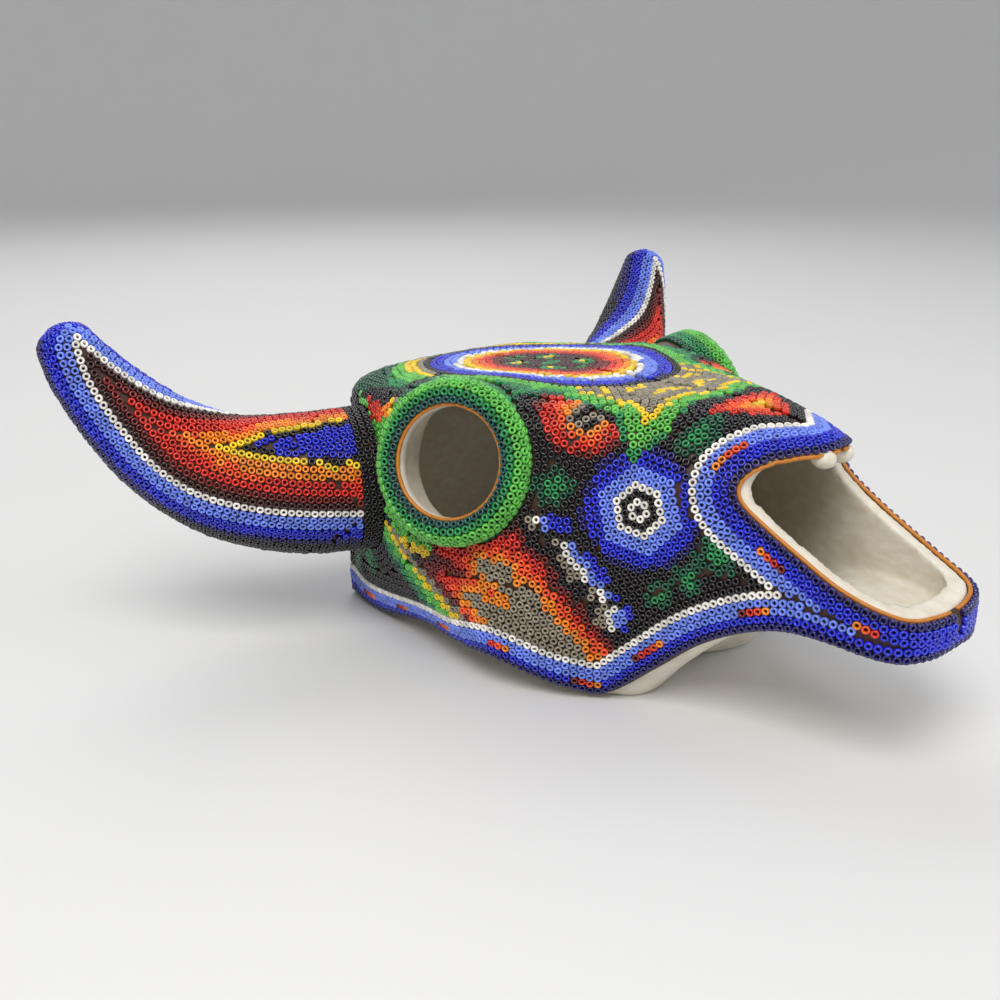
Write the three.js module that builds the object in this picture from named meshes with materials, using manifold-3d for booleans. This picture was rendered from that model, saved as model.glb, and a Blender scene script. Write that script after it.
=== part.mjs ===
// A beaded bull skull: a hollow ceramic head casting and two horn castings, each coated with a thin bed
// of beeswax, with fields of glass seed beads pressed into the wax.
// Millimetres, +Z up, snout towards -Y, the skull's own left side towards +X, resting on z = 0.
import * as THREE from "three";
import { mergeVertices } from "three/addons/utils/BufferGeometryUtils.js";
import Module from "manifold-3d";

const wasm = await Module();
wasm.setup();

// ---------------------------------------------------------------- driving dimensions
// Layers, as depths below the tops of the beads.
const BEADS = { from: 0, to: 1.3 };
const WAX = { from: 1.55, to: 2.25 };
const CASTING_DEPTH = 2.5;
const WALL = 4; // thickness of the head casting
const GAP = 0.3; // clearance between neighbouring pieces

// Mesh density.
const AROUND = 24;
const ALONG = 20;
const CAVITY_AROUND = 16;
const CAVITY_ALONG = 14;
const RING_AROUND = 20;

// Half sections of the head from rear to snout: y, then the crown height at x = 0, the brow, side, cheek
// and hem as [x, z], and the height of the sole at x = 0.
const SECTIONS = [
  { y: -11, crown: 45, brow: [0.5, 45], side: [0.5, 44], cheek: [0.5, 40], hem: [0.5, 38], sole: 38 },
  { y: -13, crown: 67.5, brow: [27, 64.5], side: [31, 51], cheek: [33, 26], hem: [31, 1], sole: -1 },
  { y: -21, crown: 72.5, brow: [35, 70], side: [39, 56], cheek: [40, 28], hem: [36.5, -3], sole: -3 },
  { y: -38, crown: 74.5, brow: [40.5, 72], side: [46.5, 58], cheek: [48, 30], hem: [40, -0.5], sole: -3 },
  { y: -57, crown: 75.8, brow: [44, 74.5], side: [51.5, 60], cheek: [53, 32], hem: [41.5, 3.5], sole: -1 },
  { y: -76, crown: 76.8, brow: [45.5, 77.5], side: [51, 62], cheek: [54, 34], hem: [45, 5], sole: 1.5 },
  { y: -93, crown: 77.5, brow: [38.5, 75.5], side: [46.5, 61], cheek: [50.5, 36], hem: [47, 5.5], sole: 2 },
  { y: -108, crown: 77.5, brow: [30, 74.5], side: [39, 59], cheek: [44, 38], hem: [40, 1], sole: 0 },
  { y: -120, crown: 78, brow: [23, 75], side: [34, 58], cheek: [37, 38], hem: [29, -4], sole: -0.5 },
  { y: -133, crown: 77.6, brow: [17, 74.8], side: [30, 61], cheek: [31, 42], hem: [25.5, 10], sole: 11 },
  { y: -148, crown: 75.2, brow: [13, 72.2], side: [23, 63], cheek: [25, 45], hem: [23.5, 23], sole: 23.5 },
  { y: -161, crown: 71.6, brow: [11, 67.2], side: [21.5, 56], cheek: [22.8, 42], hem: [22, 28.5], sole: 28.5 },
  { y: -174, crown: 61, brow: [11.5, 58], side: [20.5, 49.5], cheek: [22, 39], hem: [20.5, 29], sole: 29 },
  { y: -185.5, crown: 50, brow: [11, 48.5], side: [17.5, 44.5], cheek: [19, 37.5], hem: [17, 27], sole: 27 },
  { y: -191.5, crown: 44, brow: [8.5, 43], side: [12.6, 40.5], cheek: [13.8, 35.5], hem: [12, 27.5], sole: 27 },
  { y: -195, crown: 36.5, brow: [0.5, 36.5], side: [1, 36], cheek: [1, 35.5], hem: [0.5, 35], sole: 35 },
];

// Eye sockets: a raised drum-shaped ring round a round hole.
const EYE = new THREE.Vector3(52.8, -80.6, 60.4);
const EYE_AXIS = new THREE.Vector3(0.9, -0.35, 0.27).normalize();
const EYE_RING_RADIUS = 21.8;
const EYE_RING_RISE = 3.4;
const EYE_RING_DEPTH = 13;
const EYE_HOLE_RADIUS = 14.3;
const EYE_HOLE_REACH = 26;
const EYE_CHAMBER = { radius: 16.3, top: -3.2 }; // the wider space behind the rim of an eye hole

// Horns: centre line and radius from the root to the tip.
const HORN = [
  { at: [44.5, -34, 44.2], radius: 20.8 },
  { at: [62.4, -25.8, 44.2], radius: 20.2 },
  { at: [80.2, -17.5, 48.2], radius: 17.8 },
  { at: [94.4, -10.9, 57.4], radius: 15 },
  { at: [105, -5.8, 69.4], radius: 12 },
  { at: [112.8, -2, 81.5], radius: 9.2 },
  { at: [117.8, 0.5, 92.6], radius: 6.6 },
];
const HORN_TIP_DOME = 0.045; // share of the centre line that the rounded tip takes
const HORN_AROUND = 12;
const HORN_ALONG = 11;
const HORN_ROOT_STEP = 0.004; // share of the centre line at the first row of vertices past the root
const HORN_COLLAR = 0.055; // share of the centre line under the collar of beads
const SPIGOT_RADIUS = 11;
const SPIGOT_LENGTH = 10;

// Nasal opening, as a side outline [y, z] that starts above the tip of the nasal bone.
const NASAL_NOTCH = [
  [-164, 77], [-161, 71], [-155, 69.5], [-149.5, 67], [-147.5, 62.5], [-151, 57.5], [-164, 50],
  [-178, 43.5], [-191.5, 39.5],
];
// The tip's outline in plan is a parabola as far as its reach, and straight beyond.
const NASAL_TIP = { y: -161.3, curl: 0.045, reach: 14.5, floor: 64 };
// Lower edge of the beads, as a side outline [y, z] from rear to snout.
const HEM_LINE = [
  [-8, 0.8], [-30, 1.2], [-44, 3.4], [-56, 5.6], [-67, 7.2], [-80, 7.6], [-93, 9], [-103, 5.6], [-111, 3],
  [-118, 2], [-129, 11], [-140, 20.5], [-151, 27], [-162, 31], [-173, 31.8], [-186, 30], [-196, 29.6],
];
const NASAL_KNOB = { radii: [3, 3.5, 2.7], x: 3.8, y: -158, z: 68.2 };

// Fields of beads on the head.
const RIM_MARGIN = { wax: 0.9, beads: 1.2 }; // how far the wax and the beads stop short of a hole's edge
const NASAL_BAND = 10;
const HEM_BAND = 10;
const CROWN_FLOOR = 58; // the fields on the crown reach down to this height
const MEDALLION = { y: -63.5, halfWidth: 31.5, halfLength: 39 };
const STAR_RIGHT_HALF = [
  [0, -19], [22, -22], [36, -34], [47, -52], [47, -78], [40, -88], [30, -93], [28.5, -110], [27, -126],
  [12, -125.5],
];
const NOSE = { halfWidth: 19, from: -100, to: -175, floor: 64 };
const RIDGE_Y = -80; // the cheek ridges, where cheek and temple fields meet
const OCCIPUT_Y = -26; // the back of the head lies behind this

// ---------------------------------------------------------------- solids
// Turns a closed geometry into a solid with its faces out.
function solid(geometry) {
  const bare = geometry.clone();
  bare.deleteAttribute("normal");
  bare.deleteAttribute("uv");
  const merged = mergeVertices(bare, 1e-3);
  const triVerts = new Uint32Array(merged.index.array);
  const vertProperties = merged.attributes.position.array;
  const made = new wasm.Manifold(new wasm.Mesh({ numProp: 3, vertProperties, triVerts }));
  if (made.volume() > 0) return made;
  for (let i = 0; i < triVerts.length; i += 3) {
    [triVerts[i + 1], triVerts[i + 2]] = [triVerts[i + 2], triVerts[i + 1]];
  }
  return new wasm.Manifold(new wasm.Mesh({ numProp: 3, vertProperties, triVerts }));
}

// Turns a solid back into a flat-shaded geometry.
function geometryOf(manifold) {
  const mesh = manifold.getMesh();
  const indexed = new THREE.BufferGeometry();
  indexed.setAttribute("position", new THREE.BufferAttribute(mesh.vertProperties, 3));
  indexed.setIndex(new THREE.BufferAttribute(mesh.triVerts, 1));
  const flat = indexed.toNonIndexed();
  flat.computeVertexNormals();
  return flat;
}

// Catmull-Rom value at t between b and c.
function catmull(a, b, c, d, t) {
  const linear = c - a;
  const square = 2 * a - 5 * b + 4 * c - d;
  const cube = 3 * b - 3 * c + d - a;
  return b + 0.5 * t * (linear + t * (square + t * cube));
}

// Value at place s (0..1) along a list of points, each an array of numbers.
function along(points, s) {
  const last = points.length - 1;
  const place = Math.min(Math.max(s, 0), 1) * last;
  const i = Math.min(Math.floor(place), last - 1);
  const [a, b, c, d] = [points[Math.max(i - 1, 0)], points[i], points[i + 1], points[Math.min(i + 2, last)]];
  return b.map((_, k) => catmull(a[k], b[k], c[k], d[k], place - i));
}

// ---------------------------------------------------------------- head surface
const PROFILES = SECTIONS.map(({ y, crown, brow, side, cheek, hem, sole }) =>
  [[-brow[0], brow[1]], [0, crown], brow, side, cheek, hem, [0, sole], [-hem[0], hem[1]]]
    .map(([x, z]) => [x, y, z]));
const PROFILE_SPANS = 5;

// Point of the head at u round the section (0 and 1 on the crown, 0.5 under the sole) and v along it.
function headPoint(u, v) {
  const half = 1 - Math.abs(1 - 2 * u);
  const place = half * PROFILE_SPANS;
  const i = Math.min(Math.floor(place), PROFILE_SPANS - 1);
  const corner = [0, 1, 2, 3].map((k) => along(PROFILES.map((profile) => profile[i + k]), v));
  const [x, y, z] = [0, 1, 2].map((k) => catmull(...corner.map((point) => point[k]), place - i));
  return new THREE.Vector3(u <= 0.5 ? x : -x, y, z);
}

// Outward normal of the head, from small steps along the surface.
function headNormal(u, v) {
  const step = 1e-3;
  if (v < step) return new THREE.Vector3(0, 1, 0);
  if (v > 1 - step) return new THREE.Vector3(0, -1, 0);
  const around = headPoint((u + step) % 1, v).sub(headPoint((u - step + 1) % 1, v));
  const lengthwise = headPoint(u, v + step).sub(headPoint(u, v - step));
  return lengthwise.cross(around).normalize();
}

function headLoft(depth, around = AROUND, rows = ALONG) {
  const geometry = new THREE.SphereGeometry(1, around, rows);
  const { position, uv } = geometry.attributes;
  for (let i = 0; i < position.count; i += 1) {
    const v = 1 - uv.getY(i);
    const column = v < 1e-6 || v > 1 - 1e-6 ? 0 : uv.getX(i) % 1;
    const normal = headNormal(column, v);
    const point = headPoint(column, v).addScaledVector(normal, -depth);
    position.setXYZ(i, point.x, point.y, point.z);
  }
  return solid(geometry);
}

// ---------------------------------------------------------------- eye rings
function eyeFrame(side) {
  const axis = new THREE.Vector3(side * EYE_AXIS.x, EYE_AXIS.y, EYE_AXIS.z);
  const turn = new THREE.Quaternion().setFromUnitVectors(new THREE.Vector3(0, 1, 0), axis);
  const centre = new THREE.Vector3(side * EYE.x, EYE.y, EYE.z);
  return new THREE.Matrix4().compose(centre, turn, new THREE.Vector3(1, 1, 1));
}

function eyeDrum(side, depth) {
  const outer = EYE_RING_RADIUS - depth;
  const rise = EYE_RING_RISE - depth;
  const profile = [
    [0, -EYE_RING_DEPTH], [outer, -EYE_RING_DEPTH], [outer, rise - 3.6], [outer - 1.1, rise - 1.3],
    [outer - 3, rise], [outer - 5, rise - 0.5], [0, rise - 1],
  ].map(([x, y]) => new THREE.Vector2(x, y));
  return solid(new THREE.LatheGeometry(profile, RING_AROUND).applyMatrix4(eyeFrame(side)));
}

function eyeBore(side, radius, top = 8) {
  const length = EYE_HOLE_REACH + top;
  const bore = new THREE.CylinderGeometry(radius, radius, length, RING_AROUND);
  bore.translate(0, top - length / 2, 0);
  return solid(bore.applyMatrix4(eyeFrame(side)));
}

// ---------------------------------------------------------------- horns
const HORN_LINE = new THREE.CatmullRomCurve3(HORN.map(({ at }) => new THREE.Vector3(...at)));
const HORN_RADII = HORN.map(({ radius }) => [radius]);
const HORN_LENGTH = HORN_LINE.getLength();

// A length of the left horn between two shares of its centre line. Its rows of vertices stand at the same
// shares at every depth, so that the layers stay parallel, and its tip is a dome.
function hornSolid(depth, from = 0, to = 1) {
  const geometry = new THREE.CylinderGeometry(1, 1, 1, HORN_AROUND, HORN_ALONG);
  const { position } = geometry.attributes;
  const lead = new THREE.Vector3(0, 0, 1);
  for (let i = 0; i < position.count; i += 1) {
    const [x, y, z] = [position.getX(i), position.getY(i), position.getZ(i)];
    const row = Math.round((y + 0.5) * HORN_ALONG);
    const run = Math.sin((Math.max(row - 1, 0) / (HORN_ALONG - 1)) * Math.PI / 2) ** 0.85;
    const share = row === 0 ? from : HORN_ROOT_STEP + (to - HORN_ROOT_STEP) * run;
    const onLine = Math.max(share, 0);
    const tangent = HORN_LINE.getTangentAt(onLine);
    const side = new THREE.Vector3().crossVectors(lead, tangent).normalize();
    const rise = new THREE.Vector3().crossVectors(tangent, side);
    const dome = Math.min(Math.max(0, (share - 1 + HORN_TIP_DOME) / HORN_TIP_DOME), 1);
    const radius = (along(HORN_RADII, HORN_LINE.getUtoTmapping(onLine))[0] - depth) * Math.sqrt(1 - dome * dome);
    const centre = HORN_LINE.getPointAt(onLine)
      .addScaledVector(tangent, (share - onLine) * HORN_LENGTH - depth * dome)
      .addScaledVector(side, x * radius)
      .addScaledVector(rise, z * radius);
    position.setXYZ(i, centre.x, centre.y, centre.z);
  }
  return solid(geometry);
}

// The spigot at the horn's root that sits in the head's socket.
function spigot(clearance) {
  const tangent = HORN_LINE.getTangentAt(0);
  const length = SPIGOT_LENGTH + 3 + clearance;
  const geometry = new THREE.CylinderGeometry(SPIGOT_RADIUS + clearance, SPIGOT_RADIUS + clearance, length, 14);
  geometry.translate(0, 3 - length / 2, 0);
  const turn = new THREE.Quaternion().setFromUnitVectors(new THREE.Vector3(0, 1, 0), tangent);
  geometry.applyQuaternion(turn).translate(...HORN[0].at);
  return solid(geometry);
}

function mirrored(manifold) {
  return solid(geometryOf(manifold).scale(-1, 1, 1));
}

function bothSides(manifold) {
  return manifold.add(mirrored(manifold));
}

// ---------------------------------------------------------------- cutters
// A prism whose outline [y, z] is drawn on the side view and which runs right across the head.
function sideCutter(outline) {
  const shape = new THREE.Shape(outline.map(([y, z]) => new THREE.Vector2(y, z)));
  const geometry = new THREE.ExtrudeGeometry(shape, { depth: 200, bevelEnabled: false });
  const axes = new THREE.Matrix4().makeBasis(
    new THREE.Vector3(0, 1, 0), new THREE.Vector3(0, 0, 1), new THREE.Vector3(1, 0, 0));
  return solid(geometry.applyMatrix4(axes).translate(-100, 0, 0));
}

// A prism whose outline [x, y] is drawn on the top view, from a height upwards.
function topCutter(outline, floor) {
  const shape = new THREE.Shape(outline.map(([x, y]) => new THREE.Vector2(x, y)));
  const geometry = new THREE.ExtrudeGeometry(shape, { depth: 100, bevelEnabled: false });
  return solid(geometry.translate(0, 0, floor));
}

function ellipse(halfWidth, halfLength, y, count = 40) {
  const curve = new THREE.EllipseCurve(0, y, halfWidth, halfLength);
  return curve.getPoints(count).slice(0, -1).map((point) => [point.x, point.y]);
}

// Moves an open side outline by a distance to the left of its direction.
function shifted(line, distance) {
  return line.map((point, i) => {
    const before = line[Math.max(i - 1, 0)];
    const after = line[Math.min(i + 1, line.length - 1)];
    const [dy, dz] = [after[0] - before[0], after[1] - before[1]];
    const length = Math.hypot(dy, dz);
    return [point[0] - (dz / length) * distance, point[1] + (dy / length) * distance];
  });
}

// Everything in front of and above the nasal notch, with the notch grown by a margin.
function nasalCutter(margin) {
  const line = shifted(NASAL_NOTCH, margin);
  const notch = sideCutter([...line, [-230, 36 - margin], [-230, 110], [line[0][0] - 4, 110]]);
  const { y, curl, reach, floor } = NASAL_TIP;
  const tip = [-24, -reach, -10, -5, 0, 5, 10, reach, 24]
    .map((x) => [x, y + curl * Math.min(Math.abs(x), reach) ** 2 + margin]);
  return notch.add(topCutter([...tip, [24, -230], [-24, -230]], floor - margin));
}

// Everything under the hem line, with the line raised by a margin.
function hemCutter(margin) {
  const line = shifted(HEM_LINE, -margin);
  return sideCutter([[20, line[0][1]], ...line, [-230, line.at(-1)[1]], [-230, -20], [20, -20]]);
}

function box(low, high) {
  const size = high.map((value, i) => value - low[i]);
  const geometry = new THREE.BoxGeometry(...size);
  return solid(geometry.translate(...low.map((value, i) => value + size[i] / 2)));
}

// ---------------------------------------------------------------- layers of the head
function headShape(depth) {
  return headLoft(depth).add(eyeDrum(1, depth)).add(eyeDrum(-1, depth));
}

function eyeBores(radius, top) {
  return eyeBore(1, radius, top).add(eyeBore(-1, radius, top));
}

// A layer of the head between two depths, trimmed at the holes, the hem and the horns.
function headLayer({ from, to }, margin) {
  return headShape(from)
    .subtract(headShape(to))
    .subtract(eyeBores(EYE_HOLE_RADIUS + margin))
    .subtract(nasalCutter(margin))
    .subtract(hemCutter(0))
    .subtract(bothSides(hornSolid(-GAP, -GAP / HORN_LENGTH)))
    .subtract(bothSides(spigot(GAP)));
}

function headCasting() {
  const ground = box([-100, -230, -30], [100, 30, 0]);
  const cavityFloor = box([-100, -230, -30], [100, 30, WALL]);
  const cavity = headLoft(CASTING_DEPTH + WALL, CAVITY_AROUND, CAVITY_ALONG).subtract(cavityFloor);
  const knob = new THREE.SphereGeometry(1, 10, 6);
  knob.scale(...NASAL_KNOB.radii).translate(NASAL_KNOB.x, NASAL_KNOB.y, NASAL_KNOB.z);
  return headShape(CASTING_DEPTH)
    .subtract(cavity)
    .subtract(eyeBores(EYE_HOLE_RADIUS))
    .subtract(eyeBores(EYE_CHAMBER.radius, EYE_CHAMBER.top))
    .subtract(nasalCutter(0))
    .add(bothSides(solid(knob)))
    .subtract(ground)
    .subtract(bothSides(hornSolid(CASTING_DEPTH - GAP, -GAP / HORN_LENGTH)))
    .subtract(bothSides(spigot(GAP)));
}

// ---------------------------------------------------------------- looks
const GLOSS = 0.25;
const LOOKS = {
  ceramic: { color: 0xe9e4d6, roughness: 0.45 },
  wax: { color: 0xb8742c, roughness: 0.5 },
  green: { color: 0x3f9b4f, roughness: GLOSS },
  navy: { color: 0x1f2a9c, roughness: GLOSS },
  blue: { color: 0x4b57d6, roughness: GLOSS },
  red: { color: 0xc63a1d, roughness: GLOSS },
  orange: { color: 0xd9701c, roughness: GLOSS },
  yellow: { color: 0xd9b21c, roughness: GLOSS },
  black: { color: 0x241c20, roughness: GLOSS },
};

// ---------------------------------------------------------------- assembly
const group = new THREE.Group();

// Adds a mesh; a cut can leave loose slivers, so only its largest body is kept.
function place(name, manifold, look) {
  const bodies = manifold.decompose().sort((a, b) => b.volume() - a.volume());
  const material = new THREE.MeshStandardMaterial({ ...LOOKS[look], metalness: 0 });
  const mesh = new THREE.Mesh(geometryOf(bodies[0]), material);
  mesh.name = name;
  group.add(mesh);
}

// Places a field of the beads that are left, and leaves a gap between it and the rest.
let beadsLeft = headLayer(BEADS, RIM_MARGIN.beads);
function placeField(name, cutter, look) {
  place(name, beadsLeft.intersect(cutter(-GAP / 2)), look);
  beadsLeft = beadsLeft.subtract(cutter(GAP / 2));
}

place("skull_casting", headCasting(), "ceramic");
place("skull_wax", headLayer(WAX, RIM_MARGIN.wax), "wax");

const SIDES = [["left", 1], ["right", -1]];
for (const [name, side] of SIDES) {
  placeField(`beads_eye_ring_${name}`, (grow) => eyeBore(side, EYE_RING_RADIUS + grow), "green");
}
placeField("beads_nasal_rim", (grow) => nasalCutter(NASAL_BAND + grow), "blue");
placeField("beads_hem", (grow) => hemCutter(HEM_BAND + grow), "navy");

const medallion = (grow) => ellipse(MEDALLION.halfWidth + grow, MEDALLION.halfLength + grow, MEDALLION.y);
placeField("beads_forehead_medallion", (grow) => topCutter(medallion(grow), CROWN_FLOOR - grow), "orange");

const starLeftHalf = STAR_RIGHT_HALF.slice(1).reverse().map(([x, y]) => [-x, y]);
const starTip = [0, -128.5];
const starOutline = [...STAR_RIGHT_HALF, starTip, ...starLeftHalf];
const starCentre = [0, -68];
const starGrown = (grow) => starOutline.map(([x, y]) => {
  const [dx, dy] = [x - starCentre[0], y - starCentre[1]];
  const scale = 1 + grow / Math.hypot(dx, dy);
  return [starCentre[0] + dx * scale, starCentre[1] + dy * scale];
});
placeField("beads_forehead_star", (grow) => topCutter(starGrown(grow), CROWN_FLOOR - grow), "yellow");

const FAR = 300;
const nose = (grow) => {
  const halfWidth = NOSE.halfWidth + grow;
  return box([-halfWidth, NOSE.to, NOSE.floor - grow], [halfWidth, NOSE.from, FAR]);
};
placeField("beads_nose_bridge", nose, "red");
placeField("beads_occiput", (grow) => box([-FAR, OCCIPUT_Y - grow, -FAR], [FAR, FAR, FAR]), "black");
for (const [name, side] of SIDES) {
  const beside = (grow) => (side > 0 ? [-grow, FAR] : [-FAR, grow]);
  const reach = (grow, fromY, toY) => box([beside(grow)[0], fromY, -FAR], [beside(grow)[1], toY, FAR]);
  placeField(`beads_cheek_${name}`, (grow) => reach(grow, -FAR, RIDGE_Y + grow), "black");
  placeField(`beads_temple_${name}`, (grow) => reach(grow, RIDGE_Y - grow, FAR), "green");
}

const core = hornSolid(CASTING_DEPTH).add(spigot(0));
const hornWax = hornSolid(WAX.from).subtract(hornSolid(WAX.to, -HORN_COLLAR));
const hornBeads = hornSolid(BEADS.from).subtract(hornSolid(BEADS.to, -HORN_COLLAR));
const collarCutter = (grow) => hornSolid(-5, -HORN_COLLAR, HORN_COLLAR + grow / HORN_LENGTH);
const hornCollar = hornBeads.intersect(collarCutter(-GAP / 2));
const hornField = hornBeads.subtract(collarCutter(GAP / 2));
for (const [name, turned] of [["left", (piece) => piece], ["right", mirrored]]) {
  place(`horn_core_${name}`, turned(core), "ceramic");
  place(`horn_wax_${name}`, turned(hornWax), "wax");
  place(`beads_horn_collar_${name}`, turned(hornCollar), "black");
  place(`beads_horn_${name}`, turned(hornField), "red");
}

// The origin goes under the middle of the skull's outline, on the surface it rests on.
const bounds = new THREE.Box3().setFromObject(group);
const middle = bounds.getCenter(new THREE.Vector3());
for (const mesh of group.children) mesh.geometry.translate(-middle.x, -middle.y, -bounds.min.z);

export default group;
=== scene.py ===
import heapq
import math

import bpy
import numpy as np
from mathutils import Matrix, Vector
from mathutils.bvhtree import BVHTree
from mathutils.kdtree import KDTree


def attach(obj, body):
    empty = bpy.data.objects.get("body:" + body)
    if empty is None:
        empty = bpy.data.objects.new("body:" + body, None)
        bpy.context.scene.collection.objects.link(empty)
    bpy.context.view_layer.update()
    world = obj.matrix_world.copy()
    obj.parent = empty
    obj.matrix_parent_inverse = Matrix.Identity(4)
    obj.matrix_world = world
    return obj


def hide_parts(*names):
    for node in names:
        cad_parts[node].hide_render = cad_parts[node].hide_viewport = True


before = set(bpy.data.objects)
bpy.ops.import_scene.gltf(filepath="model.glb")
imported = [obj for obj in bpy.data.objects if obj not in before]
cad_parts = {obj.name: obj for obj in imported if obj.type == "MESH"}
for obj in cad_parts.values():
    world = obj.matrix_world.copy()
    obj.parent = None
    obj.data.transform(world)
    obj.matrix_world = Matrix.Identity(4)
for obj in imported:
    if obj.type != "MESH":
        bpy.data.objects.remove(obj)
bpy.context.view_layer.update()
rng = np.random.default_rng(11)

# ------------------------------------------------------------------ dimensions (mm)
MM = 0.001
ORIGIN_Y = 94.031  # the drawing's y = 0 lies this far behind the part's origin

PITCH = 2.1  # from bead to bead along a row
BEAD_RADIUS = 1.05
BEAD_HEIGHT = 1.36
BEAD_DEPTH = 0.65  # middle of a bead below the tops of the beads
WAX_FROM, WAX_TO = 1.15, 2.35
CASTING_DEPTH = 2.4
WALL = 4.0

# Half sections of the head from rear to snout: y, crown height at x = 0, then brow, side, cheek and hem as
# (x, z), and the height of the sole at x = 0.
SECTIONS = [
    (-11, 45, (0.5, 45), (0.5, 44), (0.5, 40), (0.5, 38), 38),
    (-13, 67.5, (27, 64.5), (31, 51), (33, 26), (31, 1), -1),
    (-21, 72.5, (35, 70), (39, 56), (40, 28), (36.5, -3), -3),
    (-38, 74.5, (40.5, 72), (46.5, 58), (48, 30), (40, -0.5), -3),
    (-57, 75.8, (44, 74.5), (51.5, 60), (53, 32), (41.5, 3.5), -1),
    (-76, 76.8, (45.5, 77.5), (51, 62), (54, 34), (45, 5), 1.5),
    (-93, 77.5, (38.5, 75.5), (46.5, 61), (50.5, 36), (47, 5.5), 2),
    (-108, 77.5, (30, 74.5), (39, 59), (44, 38), (40, 1), 0),
    (-120, 78, (23, 75), (34, 58), (37, 38), (29, -4), -0.5),
    (-133, 77.6, (17, 74.8), (30, 61), (31, 42), (25.5, 10), 11),
    (-148, 75.2, (13, 72.2), (23, 63), (25, 45), (23.5, 23), 23.5),
    (-161, 71.6, (11, 67.2), (21.5, 56), (22.8, 42), (22, 28.5), 28.5),
    (-174, 61, (11.5, 58), (20.5, 49.5), (22, 39), (20.5, 29), 29),
    (-185.5, 50, (11, 48.5), (17.5, 44.5), (19, 37.5), (17, 27), 27),
    (-191.5, 44, (8.5, 43), (12.6, 40.5), (13.8, 35.5), (12, 27.5), 27),
    (-195, 36.5, (0.5, 36.5), (1, 36), (1, 35.5), (0.5, 35), 35),
]
EYE = np.array([52.8, -80.6, 60.4])
EYE_AXIS = np.array([0.9, -0.35, 0.27]) / np.linalg.norm([0.9, -0.35, 0.27])
RING_RADIUS, RING_RISE, RING_DEPTH, EYE_HOLE = 21.8, 3.4, 13.0, 14.3
EYE_CHAMBER = (16.3, -3.2)  # the wider space behind an eye hole: its radius and where it starts on the axis

HORN_POINTS = np.array([
    (44.5, -34, 44.2), (62.4, -25.8, 44.2), (80.2, -17.5, 48.2), (94.4, -10.9, 57.4),
    (105, -5.8, 69.4), (112.8, -2, 81.5), (117.8, 0.5, 92.6),
])
HORN_RADII = np.array([20.8, 20.2, 17.8, 15, 12, 9.2, 6.6])
HORN_DOME = 0.045

# Side outlines (y, z): the nasal opening and the lower edge of the beads.
NASAL_NOTCH = np.array([
    (-164, 77), (-161, 71), (-155, 69.5), (-149.5, 67), (-147.5, 62.5), (-151, 57.5), (-164, 50),
    (-178, 43.5), (-191.5, 39.5),
])
NASAL_TIP_Y, NASAL_TIP_CURL, NASAL_TIP_REACH, NASAL_TIP_FLOOR = -161.3, 0.045, 14.5, 64.0
HEM_LINE = np.array([
    (-8, 0.8), (-30, 1.2), (-44, 3.4), (-56, 5.6), (-67, 7.2), (-80, 7.6), (-93, 9), (-103, 5.6), (-111, 3),
    (-118, 2), (-129, 11), (-140, 20.5), (-151, 27), (-162, 31), (-173, 31.8), (-186, 30), (-196, 29.6),
])
KNOB_RADII, KNOB_AT = (3.0, 3.5, 2.7), (3.8, -158.0, 68.2)


# ------------------------------------------------------------------ the head's surface
def unit(vectors):
    return vectors / np.linalg.norm(vectors, axis=-1, keepdims=True)


def spline(a, b, c, d, t):
    return b + 0.5 * t * ((c - a) + t * ((2 * a - 5 * b + 4 * c - d) + t * (3 * b - 3 * c + d - a)))


PROFILES = np.array([
    [(-brow[0], y, brow[1]), (0, y, crown), (brow[0], y, brow[1]), (side[0], y, side[1]),
     (cheek[0], y, cheek[1]), (hem[0], y, hem[1]), (0, y, sole), (-hem[0], y, hem[1])]
    for y, crown, brow, side, cheek, hem, sole in SECTIONS
], float)
SPANS = 5


def head_point(u, v):
    """Point of the head at u round the section (0 on the crown, 0.5 under the sole) and v along it."""
    u = np.asarray(u, float) % 1.0
    v = np.clip(np.asarray(v, float), 0, 1)
    place = (1 - np.abs(1 - 2 * u)) * SPANS
    i = np.minimum(np.floor(place).astype(int), SPANS - 1)
    t = (place - i)[..., None]
    last = len(SECTIONS) - 1
    j = np.minimum(np.floor(v * last).astype(int), last - 1)
    s = (v * last - j)[..., None]
    before, after = np.maximum(j - 1, 0), np.minimum(j + 2, last)
    corners = [
        spline(PROFILES[before, i + k], PROFILES[j, i + k], PROFILES[j + 1, i + k], PROFILES[after, i + k], s)
        for k in range(4)
    ]
    point = spline(*corners, t)
    point[..., 0] *= np.where(u <= 0.5, 1, -1)
    return point


def head_normal(u, v, step=1e-3):
    around = head_point(u + step, v) - head_point(u - step, v)
    lengthwise = head_point(u, v + step) - head_point(u, v - step)
    normal = np.cross(lengthwise, around)
    normal /= np.linalg.norm(normal, axis=-1, keepdims=True) + 1e-12
    normal = np.where((v < step)[..., None], np.array([0, 1.0, 0]), normal)
    return np.where((v > 1 - step)[..., None], np.array([0, -1.0, 0]), normal)


def ring_faces(rings, around, closed=False):
    """Quads between rings of vertices that follow each other."""
    return [
        (r * around + k, r * around + (k + 1) % around,
         (r + 1) % rings * around + (k + 1) % around, (r + 1) % rings * around + k)
        for r in range(rings if closed else rings - 1) for k in range(around)
    ]


def capped_rings(rings, around):
    """Faces of a skin of rings with a fan at each end; the fans' two points come after the rings."""
    first, last, base = rings * around, rings * around + 1, (rings - 1) * around
    faces = ring_faces(rings, around)
    for k in range(around):
        n = (k + 1) % around
        faces += [(n, k, first), (base + k, base + n, last)]
    return faces


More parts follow.
